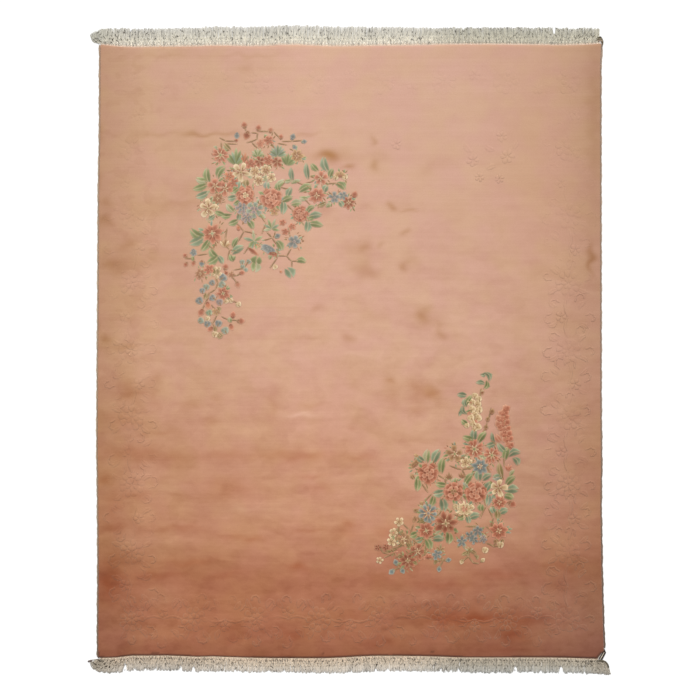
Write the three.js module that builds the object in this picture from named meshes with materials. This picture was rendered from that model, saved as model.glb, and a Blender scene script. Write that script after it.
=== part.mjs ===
// Hand-knotted wool pile rug with corded sides and a knotted cotton fringe, lying flat.
// Frame: millimetres, +X across the width, +Y along the length, +Z up.
// The origin is the middle of the rug on its underside.
import * as THREE from 'three';

// Driving dimensions.
const CORD_WIDTH = 8;
const CORD_HEIGHT = 7;
const WEB_WIDTH = 9;
const WEB_THICKNESS = 3.5;
const FRINGE_THICKNESS = 3;
const SEAT_GAP = 0.3;
const SIDE_STEP = 100;
const END_STEP = 80;

// Wall of the pile from the underside up: the woven back, then cut pile that leans in and
// rounds over to the walked-on face. Its last row is the full thickness.
const PILE_WALL = [
  { z: 0, inset: 0 },
  { z: 8, inset: 0 },
  { z: 11.5, inset: 1.5 },
  { z: 13.4, inset: 5 },
  { z: 14, inset: 11 },
];

// Section of a side cord as shares of its width and height: a flat foot, and a round back.
const CORD_SECTION = [
  { across: -0.34, up: 0 },
  { across: 0.34, up: 0 },
  { across: 0.5, up: 0.3 },
  { across: 0.46, up: 0.66 },
  { across: 0.24, up: 0.95 },
  { across: -0.24, up: 0.95 },
  { across: -0.46, up: 0.66 },
  { across: -0.5, up: 0.3 },
];

// The four edges as uneven as they lie. along runs on Y for the sides and on X for the ends,
// and out is how far the edge is from the middle line there. The sides take in their cords.
const LEFT_SIDE = [
  { along: -1516, out: 1256 },
  { along: -1000, out: 1254 },
  { along: -700, out: 1256 },
  { along: -450, out: 1259 },
  { along: -100, out: 1257 },
  { along: 300, out: 1254 },
  { along: 750, out: 1252 },
  { along: 1100, out: 1246 },
  { along: 1516, out: 1245 },
];
const RIGHT_SIDE = [
  { along: -1516, out: 1267 },
  { along: -1380, out: 1263 },
  { along: -1200, out: 1257 },
  { along: -1000, out: 1253 },
  { along: -750, out: 1249 },
  { along: -600, out: 1252 },
  { along: -200, out: 1249 },
  { along: 1400, out: 1248 },
  { along: 1516, out: 1254 },
];
const TOP_END = [
  { along: -1245, out: 1522 },
  { along: -1050, out: 1508 },
  { along: -780, out: 1508 },
  { along: -650, out: 1512 },
  { along: -470, out: 1508 },
  { along: -310, out: 1516 },
  { along: -70, out: 1508 },
  { along: 200, out: 1512 },
  { along: 640, out: 1519 },
  { along: 900, out: 1518 },
  { along: 1245, out: 1524 },
];
const BOTTOM_END = [
  { along: -1245, out: 1520 },
  { along: -1205, out: 1522 },
  { along: -1080, out: 1508 },
  { along: -900, out: 1508 },
  { along: -780, out: 1516 },
  { along: -680, out: 1512 },
  { along: -370, out: 1521 },
  { along: -150, out: 1521 },
  { along: 160, out: 1507 },
  { along: 400, out: 1507 },
  { along: 560, out: 1512 },
  { along: 1000, out: 1512 },
  { along: 1260, out: 1518 },
];

// How each corner of the pile is taken off: onEnd and onSide are measured from the square
// corner, and a corner of one step is a straight cut.
const CORNERS = {
  bottomLeft: { onEnd: 11, onSide: 14, steps: 3 },
  bottomRight: { onEnd: 34, onSide: 38, steps: 1 },
  topRight: { onEnd: 7, onSide: 7, steps: 2 },
  topLeft: { onEnd: 7, onSide: 7, steps: 2 },
};

// The left-hand cord turns in round the bottom corner and stops at the fringe.
const LEFT_CORD_TURN = [
  { x: -1244, y: -1525, width: 5 },
  { x: -1249.5, y: -1517, width: 7 },
];

// The right-hand cord runs on past the pile. At the top it ends in a frayed tuft, and at the
// bottom its strands come loose and lie side by side along the cut corner: share is how far
// along the cut each row is, from the side to the end.
const RIGHT_CORD_TUFT = [
  { x: 1248, y: 1541, width: 7 },
  { x: 1244, y: 1560, width: 4 },
];
const RIGHT_CORD_STRANDS = [
  { share: 0.8, width: 20 },
  { share: 0.5, width: 18 },
  { share: 0.15, width: 11 },
];

// Lengths of the fringe, from the web to the tips.
const TOP_LENGTHS = [
  { along: -1245, out: 70 },
  { along: -1000, out: 76 },
  { along: -500, out: 84 },
  { along: 200, out: 84 },
  { along: 500, out: 77 },
  { along: 1235, out: 72 },
];
const BOTTOM_LENGTHS = [
  { along: -1247, out: 72 },
  { along: -950, out: 68 },
  { along: -300, out: 62 },
  { along: 0, out: 69 },
  { along: 500, out: 68 },
  { along: 1247, out: 71 },
];

// One row for each tassel of a run that repeats along a fringe: how much it falls short, and
// how deep and wide the gap on its left is. The deep gaps part the clumps of tassels.
const TOP_TASSELS = [
  { short: 0, gapDepth: 8, gapWidth: 4 },
  { short: 7, gapDepth: 5, gapWidth: 3 },
  { short: 3, gapDepth: 10, gapWidth: 4 },
  { short: 9, gapDepth: 5, gapWidth: 3 },
  { short: 1, gapDepth: 12, gapWidth: 5 },
  { short: 5, gapDepth: 7, gapWidth: 3 },
  { short: 11, gapDepth: 5, gapWidth: 4 },
  { short: 2, gapDepth: 14, gapWidth: 5 },
  { short: 6, gapDepth: 6, gapWidth: 3 },
];
const BOTTOM_TASSELS = [
  { short: 0, gapDepth: 9, gapWidth: 3 },
  { short: 3, gapDepth: 7, gapWidth: 2.4 },
  { short: 1, gapDepth: 15, gapWidth: 5 },
  { short: 4, gapDepth: 8, gapWidth: 3 },
  { short: 0, gapDepth: 6, gapWidth: 2 },
  { short: 2, gapDepth: 23, gapWidth: 8 },
  { short: 5, gapDepth: 9, gapWidth: 3 },
  { short: 1, gapDepth: 12, gapWidth: 4 },
  { short: 3, gapDepth: 7, gapWidth: 2.4 },
  { short: 0, gapDepth: 19, gapWidth: 7 },
  { short: 4, gapDepth: 8, gapWidth: 3 },
];

// The two fringes. direction is the way each points on Y, and wornAt is where one tassel has
// worn short. At a corner the tassels fan out over a stretch of the edge: reach is how far the
// outermost one strays sideways, bend says how soon (small is at once), and shorten is the
// share of its length lost along Y.
const WORN_SHORT = 18;
const FRINGES = {
  top: {
    direction: 1,
    edge: TOP_END,
    lengths: TOP_LENGTHS,
    run: TOP_TASSELS,
    from: -1245,
    to: 1235,
    webFrom: -1236,
    webTo: 1242.5,
    tassels: 146,
    wornAt: 1010,
    left: { reach: 47, bend: 0.45, shorten: 0.12, stretch: 62 },
    right: { reach: 0, bend: 1, shorten: 0, stretch: 1 },
  },
  bottom: {
    direction: -1,
    edge: BOTTOM_END,
    lengths: BOTTOM_LENGTHS,
    run: BOTTOM_TASSELS,
    from: -1247,
    to: 1247,
    webFrom: -1239,
    webTo: 1232,
    tassels: 147,
    wornAt: 1044,
    left: { reach: 54, bend: 0.8, shorten: 0.7, stretch: 75 },
    right: { reach: 41, bend: 0.5, shorten: 0, stretch: 60 },
  },
};
function wool(color) {
  return new THREE.MeshStandardMaterial({ color, roughness: 0.95, metalness: 0 });
}

function cotton(color) {
  return new THREE.MeshStandardMaterial({ color, roughness: 0.9, metalness: 0 });
}

// Value of a table between its rows, eased so that the edge has no kinks.
function outAt(rows, along) {
  const place = Math.min(Math.max(along, rows[0].along), rows[rows.length - 1].along);
  const next = Math.max(1, rows.findIndex((row) => row.along >= place));
  const low = rows[next - 1];
  const high = rows[next];
  const share = THREE.MathUtils.smoothstep(place, low.along, high.along);
  return THREE.MathUtils.lerp(low.out, high.out, share);
}

// Evenly spaced places from one to the other, both included, about step apart.
function stations(from, to, step) {
  const count = Math.max(1, Math.round(Math.abs(to - from) / step));
  return Array.from({ length: count + 1 }, (_, i) => THREE.MathUtils.lerp(from, to, i / count));
}

// Closed mesh from a stack of rings with the same number of points each. A ring turns
// anticlockwise seen from the far end of the stack, and lids are one ring's triangles.
function ringStack(rings, lids) {
  const perRing = rings[0].length;
  const last = (rings.length - 1) * perRing;
  const faces = [];
  for (let ring = 0; ring < rings.length - 1; ring += 1) {
    for (let i = 0; i < perRing; i += 1) {
      const a = ring * perRing + i;
      const b = ring * perRing + (i + 1) % perRing;
      faces.push(a, b, b + perRing, a, b + perRing, a + perRing);
    }
  }
  for (const [a, b, c] of lids) {
    faces.push(c, b, a);
    faces.push(last + a, last + b, last + c);
  }
  const geometry = new THREE.BufferGeometry();
  const places = rings.flat().flatMap((point) => [point.x, point.y, point.z]);
  geometry.setAttribute('position', new THREE.Float32BufferAttribute(places, 3));
  geometry.setIndex(faces);
  geometry.computeVertexNormals();
  return geometry;
}

// The outline moved inwards by a distance, each point along the bisector of its two sides.
function insetOutline(outline, distance) {
  return outline.map((point, i) => {
    const before = outline[(i + outline.length - 1) % outline.length];
    const after = outline[(i + 1) % outline.length];
    const into = point.clone().sub(before).normalize();
    const away = after.clone().sub(point).normalize();
    const bisector = new THREE.Vector2(-into.y - away.y, into.x + away.x).normalize();
    const spread = bisector.dot(new THREE.Vector2(-into.y, into.x));
    return point.clone().addScaledVector(bisector, distance / spread);
  });
}

function sideOfPile(rows, y) {
  return outAt(rows, y) - CORD_WIDTH - SEAT_GAP;
}

// The pile's four corners as they would be if nothing were taken off them.
function squareCorners() {
  const corner = (sideRows, side, endRows, end) => {
    const x = side * sideOfPile(sideRows, end * outAt(endRows, 0));
    return new THREE.Vector2(x, end * outAt(endRows, x));
  };
  return {
    bottomLeft: corner(LEFT_SIDE, -1, BOTTOM_END, -1),
    bottomRight: corner(RIGHT_SIDE, 1, BOTTOM_END, -1),
    topRight: corner(RIGHT_SIDE, 1, TOP_END, 1),
    topLeft: corner(LEFT_SIDE, -1, TOP_END, 1),
  };
}

// Stations along each edge of the pile, between its corners.
function edgeStations(square) {
  const { bottomLeft, bottomRight, topRight, topLeft } = CORNERS;
  return {
    bottom: stations(
      square.bottomLeft.x + bottomLeft.onEnd,
      square.bottomRight.x - bottomRight.onEnd,
      END_STEP,
    ),
    right: stations(
      square.bottomRight.y + bottomRight.onSide,
      square.topRight.y - topRight.onSide,
      SIDE_STEP,
    ),
    top: stations(
      square.topLeft.x + topLeft.onEnd,
      square.topRight.x - topRight.onEnd,
      END_STEP,
    ),
    left: stations(
      square.bottomLeft.y + bottomLeft.onSide,
      square.topLeft.y - topLeft.onSide,
      SIDE_STEP,
    ),
  };
}

const SQUARE = squareCorners();
const STATIONS = edgeStations(SQUARE);

// Outline of the pile, anticlockwise from the bottom left corner.
function pileOutline() {
  const point = (x, y) => new THREE.Vector2(x, y);
  const bottom = STATIONS.bottom.map((x) => point(x, -outAt(BOTTOM_END, x)));
  const right = STATIONS.right.map((y) => point(sideOfPile(RIGHT_SIDE, y), y));
  const top = STATIONS.top.map((x) => point(x, outAt(TOP_END, x))).reverse();
  const left = STATIONS.left.map((y) => point(-sideOfPile(LEFT_SIDE, y), y)).reverse();
  const joins = [
    [bottom, right, 'bottomRight'],
    [right, top, 'topRight'],
    [top, left, 'topLeft'],
    [left, bottom, 'bottomLeft'],
  ];
  return joins.flatMap(([run, nextRun, name]) => {
    const turn = new THREE.QuadraticBezierCurve(run[run.length - 1], SQUARE[name], nextRun[0]);
    return [...run, ...turn.getPoints(CORNERS[name].steps).slice(1, -1)];
  });
}

function pileGeometry() {
  const outline = pileOutline();
  const rings = PILE_WALL.map(({ z, inset }) => (
    insetOutline(outline, inset).map((point) => new THREE.Vector3(point.x, point.y, z))
  ));
  return ringStack(rings, THREE.ShapeUtils.triangulateShape(outline, []));
}

// Sweeps the cord's section along points on the surface, each with its own width and, where
// it isn't simply the way to the next point, its own heading.
function cordGeometry(points) {
  const rings = points.map((point, i) => {
    const before = points[Math.max(0, i - 1)];
    const after = points[Math.min(points.length - 1, i + 1)];
    const onward = new THREE.Vector2(after.x - before.x, after.y - before.y).normalize();
    const heading = point.heading ?? onward;
    return CORD_SECTION.map(({ across, up }) => new THREE.Vector3(
      point.x - heading.y * across * point.width,
      point.y + heading.x * across * point.width,
      up * CORD_HEIGHT,
    ));
  });
  const lids = CORD_SECTION.slice(2).map((_, i) => [0, i + 1, i + 2]);
  return ringStack(rings, lids);
}

// Points of the cord beside the pile, at the pile's own stations so that the two fit.
function sideCordPoints(rows, side, places) {
  const heading = new THREE.Vector2(0, 1);
  return places.map((y) => ({
    x: side * (outAt(rows, y) - CORD_WIDTH / 2),
    y,
    width: CORD_WIDTH,
    heading,
  }));
}

function leftCordGeometry() {
  const beside = sideCordPoints(LEFT_SIDE, -1, [...STATIONS.left, SQUARE.topLeft.y]);
  return cordGeometry([...LEFT_CORD_TURN, ...beside]);
}

// The right-hand cord with its strands along the cut corner and its tuft at the top.
function rightCordGeometry() {
  const outline = pileOutline();
  const cutFrom = outline[STATIONS.bottom.length];
  const cutTo = outline[STATIONS.bottom.length - 1];
  const heading = cutFrom.clone().sub(cutTo).normalize();
  const strands = RIGHT_CORD_STRANDS.map(({ share, width }) => {
    const aside = width / 2 + 2 * SEAT_GAP;
    const foot = cutFrom.clone().lerp(cutTo, share);
    return { x: foot.x + heading.y * aside, y: foot.y - heading.x * aside, width, heading };
  });
  const beside = sideCordPoints(RIGHT_SIDE, 1, [...STATIONS.right, SQUARE.topRight.y]);
  return cordGeometry([...strands, ...beside, ...RIGHT_CORD_TUFT]);
}

// Flat closed solid of an outline that lies on the surface.
function flatGeometry(points, thickness) {
  return new THREE.ExtrudeGeometry(new THREE.Shape(points), {
    depth: thickness,
    bevelEnabled: false,
  });
}

// The places along an end where its web and its fringe have their points.
function webPlaces({ webFrom, webTo }, places) {
  return [webFrom, ...places.filter((x) => x > webFrom && x < webTo), webTo];
}

// The woven strip between the pile and the knots of the fringe.
function webGeometry(fringe, places) {
  const { edge, direction } = fringe;
  const along = (distance) => webPlaces(fringe, places).map((x) => (
    new THREE.Vector2(x, direction * (outAt(edge, x) + distance))
  ));
  const inner = along(SEAT_GAP);
  const outer = along(SEAT_GAP + WEB_WIDTH);
  return flatGeometry([...inner, ...outer.reverse()], WEB_THICKNESS);
}

// Share of a corner's fan at a place on the edge: 1 at the corner, easing to 0.
function fanShare(distance, stretch) {
  return Math.max(0, 1 - distance / stretch) ** 2;
}

// Where a point of the fringe lies: along is its place on the web, and down is how far along
// its tassel it is.
function fringePoint(fringe, along, down) {
  const { direction, edge, lengths, left, right } = fringe;
  const leftShare = fanShare(along - fringe.from, left.stretch);
  const rightShare = fanShare(fringe.to - along, right.stretch);
  const share = down / outAt(lengths, along);
  const x = along
    - left.reach * leftShare * share ** left.bend
    + right.reach * rightShare * share ** right.bend;
  const kept = 1 - left.shorten * leftShare - right.shorten * rightShare;
  const root = outAt(edge, along) + WEB_WIDTH + 2 * SEAT_GAP;
  return new THREE.Vector2(x, direction * (root + down * kept));
}

// One comb: a netted band that fits the web's own places, and its tassels as teeth.
function fringeGeometry(fringe, places) {
  const { from, to, lengths, tassels, run, wornAt } = fringe;
  const pitch = (to - from) / tassels;
  const sideShares = [0.1, 0.25, 0.45, 0.7];
  const side = (along) => sideShares.map((share) => (
    fringePoint(fringe, along, share * outAt(lengths, along))
  ));
  const onWeb = webPlaces(fringe, places).filter((x) => x > from && x < to);
  const root = [from, ...onWeb, to].map((along) => fringePoint(fringe, along, 0));
  const teeth = [];
  for (let i = 0; i < tassels; i += 1) {
    const { short, gapDepth, gapWidth } = run[i % run.length];
    const { gapWidth: nextWidth } = run[(i + 1) % run.length];
    const start = from + i * pitch;
    const end = start + pitch;
    const worn = start <= wornAt && wornAt < end ? WORN_SHORT : 0;
    const tip = outAt(lengths, start) - short - worn;
    if (i > 0) {
      teeth.push(fringePoint(fringe, start, outAt(lengths, start) - short - gapDepth));
    }
    teeth.push(fringePoint(fringe, start + gapWidth / 2, tip));
    teeth.push(fringePoint(fringe, end - nextWidth / 2, tip - 1));
  }
  const outline = [...root, ...side(to), ...teeth.reverse(), ...side(from).reverse()];
  return flatGeometry(outline, FRINGE_THICKNESS);
}

function piece(name, geometry, material) {
  const mesh = new THREE.Mesh(geometry, material);
  mesh.name = name;
  return mesh;
}

const rug = new THREE.Group();
rug.name = 'rug';
rug.add(
  piece('pile_field', pileGeometry(), wool('#c79173')),
  piece('left_side_cord', leftCordGeometry(), wool('#93826c')),
  piece('right_side_cord', rightCordGeometry(), wool('#85705f')),
  piece('top_end_web', webGeometry(FRINGES.top, STATIONS.top), cotton('#cfc0a6')),
  piece('bottom_end_web', webGeometry(FRINGES.bottom, STATIONS.bottom), cotton('#b9a78c')),
  piece('top_fringe', fringeGeometry(FRINGES.top, STATIONS.top), cotton('#c6beae')),
  piece('bottom_fringe', fringeGeometry(FRINGES.bottom, STATIONS.bottom), cotton('#aea392')),
);

export default rug;
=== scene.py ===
import math
import random

import bpy
import numpy as np
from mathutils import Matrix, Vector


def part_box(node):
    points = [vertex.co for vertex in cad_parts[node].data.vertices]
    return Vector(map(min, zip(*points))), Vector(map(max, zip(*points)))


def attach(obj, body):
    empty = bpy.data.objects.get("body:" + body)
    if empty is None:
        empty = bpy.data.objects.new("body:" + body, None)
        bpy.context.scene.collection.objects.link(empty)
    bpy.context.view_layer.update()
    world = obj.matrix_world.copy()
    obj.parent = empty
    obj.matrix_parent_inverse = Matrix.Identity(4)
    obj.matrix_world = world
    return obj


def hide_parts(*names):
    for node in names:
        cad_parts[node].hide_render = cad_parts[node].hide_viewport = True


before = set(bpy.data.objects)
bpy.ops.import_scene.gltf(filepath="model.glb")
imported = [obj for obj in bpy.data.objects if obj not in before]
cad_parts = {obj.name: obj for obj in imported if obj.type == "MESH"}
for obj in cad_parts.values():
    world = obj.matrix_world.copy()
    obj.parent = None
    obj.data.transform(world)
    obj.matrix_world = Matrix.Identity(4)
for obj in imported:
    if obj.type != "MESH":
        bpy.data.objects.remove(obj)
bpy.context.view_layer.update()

# The room: a plain pale floor that stays white to the camera and keeps the rug's shadow, soft
# daylight from beyond the rug's lighter end, and a long lens straight above its middle, so that
# the whole rug is seen square on.
MM = 0.001
CM = 0.01
FLOOR_SIZE = 12
FLOOR_DROP = 0.3 * MM
VIEW_WIDTH = 3465 * MM
VIEW_MIDDLE = (0, 2.5 * MM)
LENS = 100
SENSOR = 36
SUN_HEIGHT = math.radians(50)
SUN_SPREAD = math.radians(25)
SUN_STRENGTH = 1.85
SKY_STRENGTH = 0.55
FLOOR_WHITE = 0.8
FLOOR_GLOW = 0.3


def dye(hex_colour, alpha=1.0):
    """An sRGB hex colour as linear red, green and blue, with its alpha."""
    parts = [int(hex_colour[i:i + 2], 16) / 255 for i in (1, 3, 5)]
    linear = [v / 12.92 if v <= 0.04045 else ((v + 0.055) / 1.055) ** 2.4 for v in parts]
    return (*linear, alpha)


def add_node(tree, kind, inputs=None, stops=None, **settings):
    """Adds a node. inputs are values or other nodes' sockets, by name or number, and stops are
    a colour ramp's places and colours."""
    made = tree.nodes.new(kind)
    for name, value in settings.items():
        setattr(made, name, value)
    for name, value in (inputs or {}).items():
        if isinstance(value, bpy.types.NodeSocket):
            tree.links.new(value, made.inputs[name])
        else:
            made.inputs[name].default_value = value
    if stops:
        elements = made.color_ramp.elements
        while len(elements) < len(stops):
            elements.new(0.5)
        for element, (place, colour) in zip(elements, stops):
            element.position = place
            element.color = colour
    return made


def new_material(name):
    """A material without nodes, and the tree for them."""
    made = bpy.data.materials.new(name)
    made.use_nodes = True
    made.node_tree.nodes.clear()
    return made, made.node_tree


def seen_directly(tree):
    """1 for what the camera, a mirror or glass sees, and 0 for the light that falls on things."""
    path = add_node(tree, "ShaderNodeLightPath")
    either = add_node(tree, "ShaderNodeMath", operation="MAXIMUM", inputs={
        0: path.outputs["Is Camera Ray"], 1: path.outputs["Is Glossy Ray"]})
    return add_node(tree, "ShaderNodeMath", operation="MAXIMUM", inputs={
        0: either.outputs[0], 1: path.outputs["Is Transmission Ray"]}).outputs[0]


scene = bpy.context.scene
scene.view_settings.view_transform = "Standard"
pile_low, pile_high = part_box("pile_field")

camera_data = bpy.data.cameras.new("camera")
camera_data.lens = LENS
camera_data.sensor_width = SENSOR
camera = bpy.data.objects.new("camera", camera_data)
camera.location = (*VIEW_MIDDLE, pile_high.z + VIEW_WIDTH * LENS / SENSOR)
scene.collection.objects.link(camera)
scene.camera = camera

sun_data = bpy.data.lights.new("soft_daylight", "SUN")
sun_data.energy = SUN_STRENGTH
sun_data.angle = SUN_SPREAD
sun = bpy.data.objects.new("soft_daylight", sun_data)
sun.rotation_euler = (-(math.pi / 2 - SUN_HEIGHT), 0, 0)
scene.collection.objects.link(sun)

scene.world = bpy.data.worlds.new("white_room")
scene.world.use_nodes = True
tree = scene.world.node_tree
tree.nodes.clear()
glow = add_node(tree, "ShaderNodeMapRange", inputs={
    "Value": seen_directly(tree), "To Min": SKY_STRENGTH, "To Max": 1.0})
sky = add_node(tree, "ShaderNodeBackground", inputs={
    "Color": (1, 1, 1, 1), "Strength": glow.outputs[0]})
add_node(tree, "ShaderNodeOutputWorld", inputs={"Surface": sky.outputs[0]})

floor_material, tree = new_material("pale_floor")
glow = add_node(tree, "ShaderNodeMath", operation="MULTIPLY", inputs={
    0: seen_directly(tree), 1: FLOOR_GLOW})
white = add_node(tree, "ShaderNodeEmission", inputs={
    "Color": (1, 1, 1, 1), "Strength": glow.outputs[0]})
matt = add_node(tree, "ShaderNodeBsdfDiffuse", inputs={
    "Color": (FLOOR_WHITE, FLOOR_WHITE, FLOOR_WHITE, 1)})
both = add_node(tree, "ShaderNodeAddShader", inputs={0: matt.outputs[0], 1: white.outputs[0]})
add_node(tree, "ShaderNodeOutputMaterial", inputs={"Surface": both.outputs[0]})

bpy.ops.object.select_all(action="DESELECT")
bpy.ops.mesh.primitive_plane_add(size=FLOOR_SIZE, location=(0, 0, -FLOOR_DROP))
floor = bpy.context.object
floor.name = "floor"
floor.data.materials.append(floor_material)


# The pile: wool knotted by hand on cotton warps and shorn level, 14 mm thick with its back. The
# field is one colour, but painted shade darkens it from dusty pink at the far end to brown at the
# near one, where the pile leans away from the light, and where feet and shears have laid it over.
PILE_CELLS = (250, 303)
# The wall from the edge of the walked-on face down to the floor, in mm.
PILE_WALL = [
    {"up": 14, "inset": 11},
    {"up": 13.4, "inset": 5},
    {"up": 11.5, "inset": 1.5},
    {"up": 8, "inset": 0},
    {"up": 0, "inset": 0},
]
LONG_EDGE = 60 * MM
# Gentle waves of the shorn face: length and height in mm, and heading in degrees.
WAVES = [
    {"length": 610, "height": 0.25, "heading": 20},
    {"length": 340, "height": 0.22, "heading": 105},
    {"length": 190, "height": 0.16, "heading": 65},
    {"length": 120, "height": 0.10, "heading": 150},
]
# How far the last rows of knots have crept towards the near end: place in cm, and mm.
CREPT = {
    "top": [(-126, 7), (-116, 11), (-104, 6), (-80, 3), (40, 3), (90, 5), (108, 10), (120, 9),
            (125, 4)],
    "bottom": [(-126, 0), (-100, 1), (-79, -2), (-60, 2), (-38, 0), (0, 1), (25, 3), (45, 6),
               (90, 6), (120, 7)],
}
# Colour of the field down its middle, with its painted shade: how far up the rug, in cm, and
# its colour.
FIELD_RAMP = [
    (-152, "#945A40"), (-142, "#A86C50"), (-112, "#B07456"), (-92, "#C48C6C"),
    (-50, "#CE9A7C"), (0, "#D8AA90"), (150, "#DAB098"),
]
# How much darker the field is towards its sides, at mid-length and near the foot, and at its
# very edges painted shade where the pile rounds over: how far across the rug, in cm, and the share
# of each colour that is left.
MIDDLE_SIDE_DARKENING = [
    (-125, "#DCD6C6"), (-100, "#F0EEE6"), (-20, "#FFFFFF"), (60, "#F8F8F8"),
    (100, "#ECEAE6"), (125, "#DAD6CC"),
]
FOOT_SIDE_DARKENING = [
    (-125, "#E6E4DC"), (-100, "#FCFCF6"), (0, "#FCFAF2"), (60, "#F0F0EA"),
    (100, "#ECF6FC"), (125, "#DCE6F0"),
]
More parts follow.
